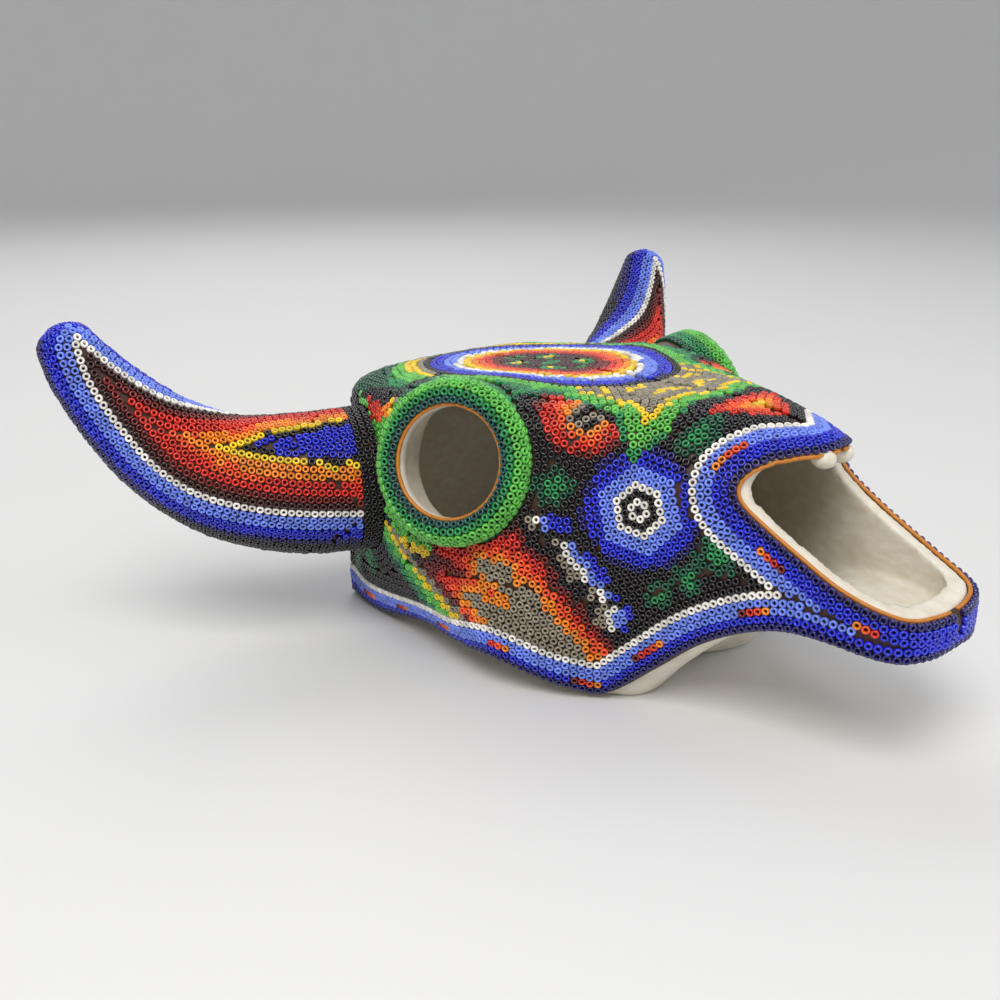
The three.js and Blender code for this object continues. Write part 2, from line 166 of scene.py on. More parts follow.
def head_mesh(depth, around, rows):
    """Closed mesh of the head at a depth, as vertices and faces."""
    v = np.linspace(0, 1, rows + 1)[1:-1]
    u = np.arange(around) / around
    grid_u, grid_v = np.meshgrid(u, v)
    body = (head_point(grid_u, grid_v) - depth * head_normal(grid_u, grid_v)).reshape(-1, 3)
    ends = head_point(np.array([0.0, 0.0]), np.array([0.0, 1.0]))
    ends[:, 0] = 0
    ends[0, 1] -= depth
    ends[1, 1] += depth
    return np.vstack([body, ends]), capped_rings(rows - 1, around)


# ------------------------------------------------------------------ horns
def horn_line_at(t):
    t = np.clip(np.asarray(t, float), 0, 1)
    last = len(HORN_POINTS) - 1
    i = np.minimum(np.floor(t * last).astype(int), last - 1)
    w = (t * last - i)[..., None]
    p = HORN_POINTS
    a, b = p[i], p[i + 1]
    before = np.where((i == 0)[..., None], 2 * p[0] - p[1], p[np.maximum(i - 1, 0)])
    after = np.where((i + 2 > last)[..., None], 2 * p[last] - p[last - 1], p[np.minimum(i + 2, last)])
    d0, d1, d2 = [(((q - o) ** 2).sum(-1) ** 0.25)[..., None] for o, q in ((before, a), (a, b), (b, after))]
    ta = ((a - before) / d0 - (b - before) / (d0 + d1) + (b - a) / d1) * d1
    tb = ((b - a) / d1 - (after - a) / (d1 + d2) + (after - b) / d2) * d1
    return a + ta * w + (-3 * a + 3 * b - 2 * ta - tb) * w ** 2 + (2 * a - 2 * b + ta + tb) * w ** 3


LINE_T = np.linspace(0, 1, 2001)
LINE_RUN = np.r_[0, np.cumsum(np.linalg.norm(np.diff(horn_line_at(LINE_T), axis=0), axis=1))]
HORN_LENGTH = LINE_RUN[-1]


def horn_frame(s):
    """Centre, tangent, side, rise and radius of the left horn at share s of its centre line."""
    s = np.asarray(s, float)
    on = np.clip(s, 0, 1)

    def at(share):
        return horn_line_at(np.interp(np.clip(share, 0, 1) * HORN_LENGTH, LINE_RUN, LINE_T))

    tangent = unit(at(on + 1e-4) - at(on - 1e-4))
    side = unit(np.cross(np.array([0, 0, 1.0]), tangent))
    rise = np.cross(tangent, side)
    t = np.interp(on * HORN_LENGTH, LINE_RUN, LINE_T) * (len(HORN_RADII) - 1)
    i = np.minimum(np.floor(t).astype(int), len(HORN_RADII) - 2)
    r = HORN_RADII
    radius = spline(r[np.maximum(i - 1, 0)], r[i], r[i + 1], r[np.minimum(i + 2, len(r) - 1)], t - i)
    return at(on) + ((s - on) * HORN_LENGTH)[..., None] * tangent, tangent, side, rise, radius


def horn_point(s, angle, depth):
    s = np.asarray(s, float)
    centre, tangent, side, rise, radius = horn_frame(s)
    dome = np.clip((s - 1 + HORN_DOME) / HORN_DOME, 0, 1)
    radius = (radius - depth) * np.sqrt(1 - dome ** 2)
    centre = centre - (depth * dome)[..., None] * tangent
    return centre + side * (np.sin(angle) * radius)[..., None] + rise * (np.cos(angle) * radius)[..., None]


def horn_mesh(depth, around=64, rows=70, start=0.0):
    """Closed mesh of the left horn at a depth, with a rounded tip and a flat root."""
    shares = np.r_[np.linspace(start, 1 - HORN_DOME, rows, endpoint=False),
                   1 - HORN_DOME + HORN_DOME * np.sin(np.linspace(0, math.pi / 2, 12, endpoint=False))]
    angle = np.arange(around) * (2 * math.pi / around)
    grid_s, grid_a = np.meshgrid(shares, angle, indexing="ij")
    body = horn_point(grid_s, grid_a, depth).reshape(-1, 3)
    tip = horn_point(np.array([1.0]), np.array([0.0]), depth)
    root = horn_frame(np.array([start]))[0]
    faces = ring_faces(len(shares), around)
    tip_at, root_at, last_ring = len(body), len(body) + 1, len(body) - around
    for k in range(around):
        n = (k + 1) % around
        faces += [(last_ring + k, last_ring + n, tip_at), (n, k, root_at)]
    return np.vstack([body, tip, root]), faces


# ------------------------------------------------------------------ mesh helpers
def to_part(verts):
    """Drawing millimetres to the part's frame in metres."""
    return (np.asarray(verts, float) + np.array([0, ORIGIN_Y, 0])) * MM


def make_object(name, verts, faces, smooth=True):
    mesh = bpy.data.meshes.new(name)
    mesh.from_pydata(to_part(verts).tolist(), [], [tuple(int(i) for i in f) for f in faces])
    mesh.update()
    if smooth:
        mesh.polygons.foreach_set("use_smooth", [True] * len(mesh.polygons))
    obj = bpy.data.objects.new(name, mesh)
    bpy.context.scene.collection.objects.link(obj)
    return obj


def outward(verts, faces):
    """The same faces, turned so that the volume is positive."""
    verts = np.asarray(verts, float)
    volume = 0.0
    for f in faces:
        a = verts[f[0]]
        for k in range(1, len(f) - 1):
            volume += np.dot(a, np.cross(verts[f[k]], verts[f[k + 1]]))
    return faces if volume > 0 else [tuple(reversed(f)) for f in faces]


def prism(outline, low, high, place):
    """A prism from a low to a high level; place turns an outline's point and a level into a vertex."""
    count = len(outline)
    verts = [place(p, q, level) for level in (low, high) for p, q in outline]
    faces = [tuple(range(count)), tuple(range(2 * count - 1, count - 1, -1))]
    faces += [(k, count + k, count + (k + 1) % count, (k + 1) % count) for k in range(count)]
    return verts, outward(verts, faces)


def prism_across(outline, half_width=100.0):
    """A prism across the head whose outline (y, z) is drawn on the side view."""
    return prism(outline, -half_width, half_width, lambda y, z, x: (x, y, z))


def prism_up(outline, low, high):
    """A prism whose outline (x, y) is drawn on the top view."""
    return prism(outline, low, high, lambda x, y, z: (x, y, z))


def lathe(profile, centre, axis, around=96):
    """Closed solid turned from (radius, height) points about an axis; both ends lie on the axis."""
    axis = np.asarray(axis, float)
    side = unit(np.cross(axis, [0, 0, 1.0]))
    up = np.cross(side, axis)
    angle = np.arange(around) * (2 * math.pi / around)
    ring = np.cos(angle)[:, None] * side + np.sin(angle)[:, None] * up
    rows = [np.asarray(centre) + axis * h + ring * r for r, h in profile[1:-1]]
    ends = [np.asarray(centre) + axis * profile[0][1], np.asarray(centre) + axis * profile[-1][1]]
    verts = np.vstack(rows + ends)
    return verts, outward(verts, capped_rings(len(rows), around))


def mirror(solid):
    verts, faces = solid
    verts = np.asarray(verts, float) * np.array([-1, 1, 1])
    return verts, [tuple(reversed(f)) for f in faces]


def taken_back(obj):
    """An object's mesh as a solid in drawing millimetres; the object goes."""
    verts = np.array([v.co for v in obj.data.vertices]) / MM - np.array([0, ORIGIN_Y, 0])
    faces = [tuple(p.vertices) for p in obj.data.polygons]
    bpy.data.objects.remove(obj)
    return verts, faces


def combine(obj, solids, operation):
    """Joins solids to an object or cuts them from it, one after the other."""
    for number, (verts, faces) in enumerate(solids):
        tool = make_object(f"tool_{number}", verts, faces, smooth=False)
        modifier = obj.modifiers.new("combine", "BOOLEAN")
        modifier.operation = operation
        modifier.solver = "MANIFOLD"
        modifier.object = tool
        apply_modifiers(obj)
        bpy.data.objects.remove(tool)


def apply_modifiers(obj):
    bpy.context.view_layer.update()
    shaped = bpy.data.meshes.new_from_object(obj.evaluated_get(bpy.context.evaluated_depsgraph_get()))
    old = obj.data
    obj.modifiers.clear()
    obj.data = shaped
    bpy.data.meshes.remove(old)


# ------------------------------------------------------------------ holes and edges
def shifted(line, distance):
    """An open side outline moved to the left of its direction."""
    before = line[np.maximum(np.arange(len(line)) - 1, 0)]
    after = line[np.minimum(np.arange(len(line)) + 1, len(line) - 1)]
    along = unit(after - before)
    return line + distance * np.stack([-along[:, 1], along[:, 0]], 1)


def smooth_line(line, per_span=8):
    """A curve through the corners of an outline."""
    last = len(line) - 1
    place = np.linspace(0, last, last * per_span + 1)
    i = np.minimum(np.floor(place).astype(int), last - 1)
    t = (place - i)[:, None]
    return spline(line[np.maximum(i - 1, 0)], line[i], line[i + 1], line[np.minimum(i + 2, last)], t)


NOTCH_CURVE = smooth_line(NASAL_NOTCH)
HEM_CURVE = smooth_line(HEM_LINE)


def nasal_tip_line(x):
    """Where the nose's tip ends in plan: a parabola, straight beyond its reach."""
    return NASAL_TIP_Y + NASAL_TIP_CURL * np.minimum(np.abs(x), NASAL_TIP_REACH) ** 2


def nasal_cutters(margin):
    line = shifted(NOTCH_CURVE, margin)
    notch = [tuple(p) for p in line] + [(-230, 36 - margin), (-230, 110), (line[0][0] - 4, 110)]
    xs = np.linspace(-26, 26, 27)
    tip = [(x, nasal_tip_line(x) + margin) for x in xs]
    return [prism_across(notch), prism_up(tip + [(26, -230), (-26, -230)], NASAL_TIP_FLOOR - margin, 130)]


def hem_cutter(margin):
    line = shifted(HEM_CURVE, -margin)
    outline = [(20, line[0][1])] + [tuple(p) for p in line] + [(-230, line[-1][1]), (-230, -20), (20, -20)]
    return prism_across(outline)


def eye_drum(depth):
    outer, rise = RING_RADIUS - depth, RING_RISE - depth
    return lathe([
        (0, -RING_DEPTH), (outer, -RING_DEPTH), (outer, rise - 3.6), (outer - 0.3, rise - 2.4),
        (outer - 1.1, rise - 1.2), (outer - 2, rise - 0.4), (outer - 3, rise), (outer - 5, rise - 0.5),
        (0, rise - 1),
    ], EYE, EYE_AXIS)


def eye_bore(radius, top=8.0):
    return lathe([(0, -26), (radius, -26), (radius, top), (0, top)], EYE, EYE_AXIS)


def box_solid(low, high):
    (x0, y0, z0), (x1, y1, z1) = low, high
    return prism_up([(x0, y0), (x1, y0), (x1, y1), (x0, y1)], z0, z1)


def both(solid):
    return [solid, mirror(solid)]


def oriented(mesh):
    verts, faces = mesh
    return verts, outward(verts, faces)


def spigot(clearance):
    root, tangent, _, _, _ = horn_frame(0.0)
    radius, back = 11 + clearance, -10 - clearance
    return lathe([(0, back), (radius, back), (radius, 3), (0, 3)], root, tangent, around=48)


# ------------------------------------------------------------------ ceramic casting and wax
def head_solid(name, depth, around=150, rows=130):
    verts, faces = oriented(head_mesh(depth, around, rows))
    head = make_object(name, verts, faces)
    combine(head, both(eye_drum(depth)), "UNION")
    return head


def round_edges(obj, size, smoothing):
    remesh = obj.modifiers.new("remesh", "REMESH")
    remesh.mode = "VOXEL"
    remesh.voxel_size = size * MM
    soften = obj.modifiers.new("soften", "SMOOTH")
    soften.factor = 0.5
    soften.iterations = smoothing
    apply_modifiers(obj)
    obj.data.polygons.foreach_set("use_smooth", [True] * len(obj.data.polygons))


def knob(side):
    x, y, z = KNOB_AT
    steps = np.linspace(-math.pi / 2, math.pi / 2, 17)
    profile = [(math.cos(a), math.sin(a)) for a in steps]
    profile[0], profile[-1] = (0, -1), (0, 1)
    verts, faces = lathe(profile, (0, 0, 0), (0.0, -1.0, 0.0), around=32)
    return verts * np.array(KNOB_RADII) + np.array([side * x, y, z]), faces


casting = head_solid("ceramic_head", CASTING_DEPTH)
hollow = make_object("hollow", *oriented(head_mesh(CASTING_DEPTH + WALL, 110, 90)))
combine(hollow, [box_solid((-100, -230, -30), (100, 30, WALL))], "DIFFERENCE")
hollow_solid = taken_back(hollow)
horn_socket = oriented(horn_mesh(CASTING_DEPTH - 0.3, start=-0.003))
openings = both(eye_bore(EYE_HOLE)) + both(eye_bore(*EYE_CHAMBER)) + nasal_cutters(0)
combine(casting, [hollow_solid] + openings, "DIFFERENCE")
combine(casting, [knob(1), knob(-1)], "UNION")
cuts = [box_solid((-100, -230, -30), (100, 30, 0))] + both(horn_socket) + both(spigot(0.3))
combine(casting, cuts, "DIFFERENCE")
round_edges(casting, 0.9, 6)


def wax_coat(name):
    coat = head_solid(name, WAX_FROM)
    inner_solid = taken_back(head_solid("inner", WAX_TO))
    collar = oriented(horn_mesh(-0.3, start=-0.003))
    cuts = [inner_solid] + both(eye_bore(EYE_HOLE + 0.5)) + nasal_cutters(0.5)
    combine(coat, cuts + [hem_cutter(-0.3)] + both(collar) + both(spigot(0.3)), "DIFFERENCE")
    return coat


wax = wax_coat("wax_head")


def horn_coat(name):
    verts, faces = oriented(horn_mesh(WAX_FROM))
    coat = make_object(name, verts, faces)
    combine(coat, [oriented(horn_mesh(WAX_TO, start=-0.055))], "DIFFERENCE")
    return coat


def mirrored_object(obj, name):
    mesh = obj.data.copy()
    mesh.transform(Matrix.Scale(-1, 4, Vector((1, 0, 0))))
    mesh.flip_normals()
    copy = bpy.data.objects.new(name, mesh)
    bpy.context.scene.collection.objects.link(copy)
    return copy


def tube(line, radius, closed=False, around=10):
    """A closed solid swept along a line of points."""
    line = np.asarray(line, float)
    if closed:
        ahead, behind = np.roll(line, -1, axis=0), np.roll(line, 1, axis=0)
    else:
        ahead, behind = np.vstack([line[1:], line[-1:]]), np.vstack([line[:1], line[:-1]])
    along = unit(ahead - behind)
    side = np.cross(along[0], [0.3, 0.5, 0.8])
    verts = []
    for place, direction in zip(line, along):
        side = unit(side - (side @ direction) * direction)
        other = np.cross(direction, side)
        for k in range(around):
            angle = 2 * math.pi * k / around
            verts.append(place + radius * (math.cos(angle) * side + math.sin(angle) * other))
    rings = len(line)
    faces = ring_faces(rings, around, closed)
    if not closed:
        faces.append(tuple(range(around - 1, -1, -1)))
        faces.append(tuple(range((rings - 1) * around, rings * around)))
    return np.array(verts), outward(verts, faces)


wax_horn_left = horn_coat("wax_horn_left")
wax_horn_right = mirrored_object(wax_horn_left, "wax_horn_right")

# ------------------------------------------------------------------ where the beads go
# Beads are laid on the left half, x > 0, and mirrored. A bead is a point, a normal, a colour and a field.
HALF_LIMIT = PITCH / 2
CELL = 3.0  # side of the cells that beads are sorted into
NEIGHBOURS = [(i, j, k) for i in (-1, 0, 1) for j in (-1, 0, 1) for k in (-1, 0, 1)]


class Carrier:
    """A surface that holds the middles of the beads."""

    def __init__(self, mesh):
        verts, faces = mesh
        self.tree = BVHTree.FromPolygons([tuple(v) for v in verts], faces)

    def nearest(self, point):
        place, normal, _, distance = self.tree.find_nearest(Vector(point))
        return np.array(place), np.array(normal), distance

    def height(self, point):
        """Signed distance, positive outside."""
        place, normal, _ = self.nearest(point)
        gap = np.asarray(point) - place
        return math.copysign(np.linalg.norm(gap), float(gap @ normal))


def cell_of(point):
    return tuple(int(math.floor(c / CELL)) for c in point)


def tree_of(points):
    tree = KDTree(len(points))
    for n, p in enumerate(points):
        tree.insert(Vector(p), n)
    tree.balance()
    return tree


class Layout:
    """The beads laid so far, with a grid of cells for finding neighbours."""

    def __init__(self):
        self.points, self.normals, self.colours, self.fields, self.rows = [], [], [], [], []
        self.cells = {}

    def near(self, point, reach):
        a, b, c = cell_of(point)
        found = []
        for i, j, k in NEIGHBOURS:
            for n in self.cells.get((a + i, b + j, c + k), ()):
                d = math.dist(point, self.points[n])
                if d < reach:
                    found.append((n, d))
        return found

    def is_free(self, point, gap):
        return not self.near(point, gap)

    def add(self, point, normal, colour, field, row=0):
        n = len(self.points)
        self.points.append(tuple(float(c) for c in point))
        self.normals.append(tuple(float(c) for c in normal))
        self.colours.append(colour)
        self.fields.append(field)
        self.rows.append(row)
        self.cells.setdefault(cell_of(point), []).append(n)
        return n

    def sort_into_cells(self):
        self.cells = {}
        for n, point in enumerate(self.points):
            self.cells.setdefault(cell_of(point), []).append(n)


def run_along(line):
    """How far along a polyline each of its corners is."""
    return np.r_[0, np.cumsum(np.linalg.norm(np.diff(line, axis=0), axis=1))]


def chain_points(line, start=0.0, pitch=PITCH):
    """Points a pitch apart along a polyline."""
    line = np.asarray(line, float)
    run = run_along(line)
    at = np.arange(start, run[-1], pitch)
    return np.stack([np.interp(at, run, line[:, k]) for k in range(3)], 1)


def contour(field, level, grid):
    """Polylines where a field on a grid of points passes a level."""
    value = field - level
    edges = {}

    def crossing(a, b):
        key = (a, b) if a < b else (b, a)
        if key not in edges:
            fa, fb = value[key[0]], value[key[1]]
            w = fa / (fa - fb)
            edges[key] = grid[key[0]] * (1 - w) + grid[key[1]] * w
        return key

    links = {}
    sign = value > 0
    corner = sign[:-1, :-1]
    mixed = (corner != sign[1:, :-1]) | (corner != sign[:-1, 1:]) | (corner != sign[1:, 1:])
    for i, j in zip(*np.nonzero(mixed)):
        corners = [(i, j), (i + 1, j), (i + 1, j + 1), (i, j + 1)]
        crossed = [crossing(corners[k], corners[(k + 1) % 4]) for k in range(4)
                   if sign[corners[k]] != sign[corners[(k + 1) % 4]]]
        for k in range(0, len(crossed) - 1, 2):
            links.setdefault(crossed[k], []).append(crossed[k + 1])
            links.setdefault(crossed[k + 1], []).append(crossed[k])
    lines, used = [], set()
    starts = [k for k, v in links.items() if len(v) == 1] + list(links)
    for start in starts:
        if start in used:
            continue
        line, here = [start], start
        used.add(start)
        while True:
            following = [k for k in links[here] if k not in used]
            if not following:
                break
            here = following[0]
            used.add(here)
            line.append(here)
        if len(line) > 3:
            lines.append(np.array([edges[k] for k in line]))
    return lines


head_carrier = Carrier(oriented(head_mesh(BEAD_DEPTH, 260, 240)))
horn_carrier = Carrier(oriented(horn_mesh(BEAD_DEPTH, around=96, rows=110)))

# Distance of each place on the left half from the hem and from the nasal opening.
GRID_V = np.linspace(0.0005, 0.9995, 420)
GRID_U = np.linspace(0.0, 0.5, 300)
grid_u, grid_v = np.meshgrid(GRID_U, GRID_V)
grid_points = head_point(grid_u, grid_v) - BEAD_DEPTH * head_normal(grid_u, grid_v)
grid_points[..., 0] = np.maximum(grid_points[..., 0], 0)


def outline_distance(points, outline):
    """Signed distance (positive outside) of (n, 2) points from a closed outline."""
    points = np.asarray(points, float)
    a = np.asarray(outline, float)
    b = np.roll(a, -1, axis=0)
    best = np.full(points.shape[0], 1e9)
    inside = np.zeros(points.shape[0], bool)
    for (ax, ay), (bx, by) in zip(a, b):
        dx, dy = bx - ax, by - ay
        length = dx * dx + dy * dy
        px, py = points[:, 0] - ax, points[:, 1] - ay
        t = np.clip((px * dx + py * dy) / max(length, 1e-12), 0, 1)
        best = np.minimum(best, np.hypot(px - t * dx, py - t * dy))
        if ay != by:
            crosses = ((ay > points[:, 1]) != (by > points[:, 1]))
            at = ax + (points[:, 1] - ay) * dx / (by - ay)
            inside ^= crosses & (points[:, 0] < at)
    return np.where(inside, -best, best)


def notch_field(points):
    outline = [tuple(p) for p in NOTCH_CURVE] + [(-230, 36), (-230, 110), (NOTCH_CURVE[0][0] - 4, 110)]
    side = outline_distance(points[:, 1:], outline)
    tip = points[:, 1] - nasal_tip_line(points[:, 0])
    return np.minimum(side, np.maximum(tip, NASAL_TIP_FLOOR - points[:, 2]))


flat_points = grid_points.reshape(-1, 3)
opening_side = notch_field(flat_points).reshape(grid_u.shape)
hem_height = np.interp(-flat_points[:, 1], -HEM_CURVE[:, 0], HEM_CURVE[:, 1])
hem_side = (flat_points[:, 2] - hem_height).reshape(grid_u.shape)
opening_edge = max(contour(opening_side, 0, grid_points), key=len)
hem_edge = max(contour(hem_side, 0, grid_points), key=len)


class EdgeDistance:
    """Distance of a point from an edge line."""

    def __init__(self, line):
        self.tree = tree_of(chain_points(line, pitch=0.4))

    def __call__(self, point):
        return self.tree.find(Vector(point))[2]


from_opening = EdgeDistance(opening_edge)
from_hem = EdgeDistance(hem_edge)


def signed_distance(from_edge, side):
    distance = np.array([from_edge(p) for p in flat_points]).reshape(side.shape)
    return np.where(side > 0, distance, -distance)


opening_distance = signed_distance(from_opening, opening_side)
hem_distance = signed_distance(from_hem, hem_side)
grid_is_beaded = ((opening_side > 0) & (hem_side > 0)).ravel()
grid_tree = tree_of(flat_points)

# ------------------------------------------------------------------ laying rows
layout = Layout()
BAND_START = 1.15  # middle of the first row from an edge
BAND_ROW = 1.88
LINE_GAP = 0.86 * PITCH  # beads of a laid row come no nearer to others than this
NASAL_COLOURS = ["navy", "blue", "blue", "light_blue", "light_blue", "white"]
HEM_COLOURS = ["navy", "blue", "light_blue", "light_blue", "white"]
# Short dashes in the bands: band, row, y from, y to, and the colours from the first end to the other.
WARM_DASH = ["orange", "orange_red", "red", "dark_red"]
DASHES = [
    ("nasal_top", 3, -144.5, -139.5, ["orange_red", "orange"]),
    ("nasal", 2, -161.5, -154.5, WARM_DASH[::-1]),
    ("nasal", 2, -185.5, -179.5, WARM_DASH[::-1]),
    ("hem", 2, -159.5, -151.5, WARM_DASH),
    ("hem", 2, -187, -180, WARM_DASH),
    ("hem", 2, -132.5, -125.5, WARM_DASH),
    ("hem", 1, -117.5, -111, WARM_DASH),
    ("hem", 2, -98, -92, WARM_DASH),
    ("hem", 2, -76.5, -69.5, WARM_DASH),
    ("hem", 2, -54, -47, WARM_DASH),
    ("hem", 2, -34.5, -27.5, WARM_DASH),
]


def band_colour(band, row, y, z):
    place = "nasal_top" if band == "nasal" and z > 66 else band
    for name, dash_row, low, high, colours in DASHES:
        if name == place and row == dash_row and low <= y < high:
            return colours[int((y - low) / (high - low) * len(colours))]
    return (NASAL_COLOURS if band == "nasal" else HEM_COLOURS)[row]


def trimmed(line):
    """A polyline cut off at the middle plane's row of beads, starting from its end nearer to the plane."""
    if line[-1][0] < line[0][0]:
        line = line[::-1]
    keep = line[:, 0] >= HALF_LIMIT
    first = int(np.argmax(keep))
    line = line[first:]
    stop = len(line) - int(np.argmax(line[::-1, 0] >= HALF_LIMIT))
    return line[:stop]


def lay_line(carrier, line, colour_of, field, gap):
    for point in chain_points(line, start=0.02):
        place, normal, _ = carrier.nearest(point)
        if layout.is_free(place, gap):
            layout.add(place, normal, colour_of(place), field)


BANDS = [
    ("nasal", "nasal_rim", NASAL_COLOURS, opening_distance, from_opening, from_hem),
    ("hem", "hem", HEM_COLOURS, hem_distance, from_hem, from_opening),
]
SHARED = 0.2  # a place is a band's own while the other band's edge is no more than this nearer
for row in range(len(NASAL_COLOURS)):
    for band, field, colours, distance, from_mine, from_other in BANDS:
        if row >= len(colours):
            continue
        for line in contour(distance, BAND_START + row * BAND_ROW, grid_points):
            line = trimmed(line)
            if len(line) < 6:
                continue
            mine = np.array([from_mine(p) <= from_other(p) + SHARED for p in line])
            if mine.sum() < 4:
                continue
            colour_of = lambda p, b=band, r=row: band_colour(b, r, p[1], p[2])
            lay_line(head_carrier, line[mine], colour_of, field, LINE_GAP)

# Eye ring: rows on its face, then rows down its flank to the head.
RING_SECTION = np.array([
    (15.0, -0.75), (16.15, -0.5), (18.15, 0), (19.2, -0.35), (20.1, -1.15), (20.85, -2.3), (21.15, -3.6),
    (21.15, -14),
]) + np.array([0, RING_RISE - BEAD_DEPTH])
RING_COLOURS = [
    "dark_teal", "green", "light_green", "light_green", "light_green", "green", "green", "dark_green",
]
RING_FIRST, RING_ROW, FACE_ROWS = 1.0, 1.93, 4
ring_run = run_along(RING_SECTION)
axis_side = unit(np.cross(EYE_AXIS, [0, 0, 1.0]))
axis_up = np.cross(axis_side, EYE_AXIS)


def ring_place(run):
    return np.array([np.interp(run, ring_run, RING_SECTION[:, k]) for k in (0, 1)])


for row, colour in enumerate(RING_COLOURS):
    run = RING_FIRST + row * RING_ROW
    radius, height = ring_place(run)
    slope = unit(ring_place(run + 0.5) - ring_place(run - 0.5))
    count = int(round(2 * math.pi * radius / PITCH))
    for k in range(count):
        angle = (k + 0.5 * (row % 2)) * 2 * math.pi / count
        out = math.cos(angle) * axis_side + math.sin(angle) * axis_up
        point = EYE + EYE_AXIS * height + out * radius
        normal = -slope[1] * out + slope[0] * EYE_AXIS
        sunk = head_carrier.height(point) < -0.35 or horn_carrier.height(point) < 0.9
        if row >= FACE_ROWS and sunk:
            continue
        if layout.is_free(point, 0.8 * PITCH):
            layout.add(point, normal, colour, "eye_ring")

# Horn: collar rings, then a white row in a long V, then rows either side of it.
V_LOW = np.array([
    (0.066, -102), (0.15, -99), (0.3, -99), (0.4, -101), (0.5, -105), (0.6, -103.5), (0.7, -98), (0.75, -95),
    (0.8, -91), (0.85, -86), (0.88, -80), (0.91, -73), (0.935, -66), (0.955, -58),
])
V_HIGH = np.array([
    (0.955, -58), (0.94, -49), (0.9, -43), (0.85, -40), (0.8, -36), (0.75, -33), (0.7, -28), (0.65, -21),
    (0.6, -13), (0.55, -6), (0.5, 1), (0.45, 9), (0.4, 15), (0.3, 19), (0.15, 20), (0.066, 20),
])
# Colours by distance from the white row.
INSIDE_V = [
    (1.0, "white"), (2.9, "brown"), (4.7, "dark_red"), (8.2, "red"), (10.0, "orange_red"), (12.2, "orange"),
    (14.0, "yellow"), (15.8, "black"), (99, "blue"),
]
OUTSIDE_V = [(1.0, "white"), (4.7, "light_blue"), (8.6, "blue"), (11.6, "navy"), (99, "black")]
COLLAR_ROWS, COLLAR_FIRST, COLLAR_ROW = 3, 0.95, 1.9
V_END = 0.955  # share of the horn's length at the V's point
HORN_FIELD_FROM = 6.4  # distance from the root where the rows beside the V begin
LINE_SHARES = np.linspace(0, 1, 600)
LINE_POINTS = horn_frame(LINE_SHARES)[0]


def share_of(point):
    return LINE_SHARES[np.argmin(((LINE_POINTS - np.asarray(point)) ** 2).sum(1))]


def angle_of(point):
    s = share_of(point)
    centre, _, side, rise, _ = horn_frame(s)
    gap = np.asarray(point) - centre
    return math.degrees(math.atan2(gap @ side, gap @ rise))


for row in range(COLLAR_ROWS):
    share = (COLLAR_FIRST + row * COLLAR_ROW) / HORN_LENGTH
    radius = horn_frame(share)[4] - BEAD_DEPTH
    count = int(round(2 * math.pi * radius / PITCH))
    for k in range(count):
        point = horn_point(share, (k + 0.5 * (row % 2)) * 2 * math.pi / count, BEAD_DEPTH)
        place, normal, _ = horn_carrier.nearest(point)
        if head_carrier.height(place) > 0.2 and layout.is_free(place, LINE_GAP):
            layout.add(place, normal, "black", "horn_collar")

v_curve = np.vstack([V_LOW, V_HIGH[1:]])
v_shares = smooth_line(v_curve, 12)
v_line = horn_point(v_shares[:, 0], np.radians(v_shares[:, 1]), BEAD_DEPTH)
v_start = len(layout.points)
lay_line(horn_carrier, v_line, lambda p: "white", "horn", 0.85 * PITCH)
v_end = len(layout.points)


def is_inside_v(point):
    s, a = share_of(point), angle_of(point)
    low = np.interp(s, V_LOW[:, 0], V_LOW[:, 1])
    high = np.interp(s, V_HIGH[::-1, 0], V_HIGH[::-1, 1])
    return s < V_END and low < a < high


def grow(carrier, starts, allowed, field, gap=0.9 * PITCH, reach=1.8 * PITCH):
    """Lays beads row after row from the starting beads, each touching two that are already there."""
    heap = []
    order = 0

    def offer(n):
        nonlocal order
        here = np.array(layout.points[n])
        normal = np.array(layout.normals[n])
        for other, d in layout.near(layout.points[n], reach):
            if other == n or d < 1.4:
                continue
            there = np.array(layout.points[other])
            along = (there - here) / d
            across = unit(np.cross(normal, along))
            rise = math.sqrt(PITCH ** 2 - d * d / 4)
            row = min(layout.rows[n], layout.rows[other]) + 1
            for sign in (1, -1):
                point = (here + there) / 2 + across * (sign * rise)
                place, facing, _ = carrier.nearest(point)
                if allowed(place) and layout.is_free(place, gap):
                    order += 1
                    heapq.heappush(heap, (row, -order, tuple(place), tuple(facing)))

    for n in starts:
        offer(n)
    added = []
    while heap:
        row, _, place, facing = heapq.heappop(heap)
        if layout.is_free(place, gap):
            n = layout.add(place, facing, None, field, row)
            added.append(n)
            offer(n)
    return added


def relax(carrier, movable, allowed, rounds, spacing=2.1):
    """Pushes crowded beads apart along the surface; only the movable ones give way."""
    is_movable = set(movable)
    for _ in range(rounds):
        tree = tree_of(layout.points)
        moved = []
        for n in movable:
            here = Vector(layout.points[n])
            push = Vector((0, 0, 0))
            for place, other, d in tree.find_range(here, spacing):
                if other != n and d > 1e-4:
                    share = 0.45 if other in is_movable else 0.9
                    push += (here - place) * ((spacing - d) / d * share)
            if push.length < 0.01:
                continue
            if push.length > 0.6:
                push *= 0.6 / push.length
            place, facing, _ = carrier.nearest(here + push)
            if allowed(place):
                moved.append((n, place, facing))
        for n, place, facing in moved:
            layout.points[n] = tuple(float(c) for c in place)
            layout.normals[n] = tuple(float(c) for c in facing)
    layout.sort_into_cells()


def fill_gaps(carrier, samples, allowed, field, gap):
    """Drops single beads into places the rows left open."""
    added = []
    for point in samples:
        place, normal, _ = carrier.nearest(point)
        if layout.is_free(place, gap) and allowed(place):
            added.append(layout.add(place, normal, None, field))
    return added


def on_horn(place):
    return share_of(place) * HORN_LENGTH > HORN_FIELD_FROM


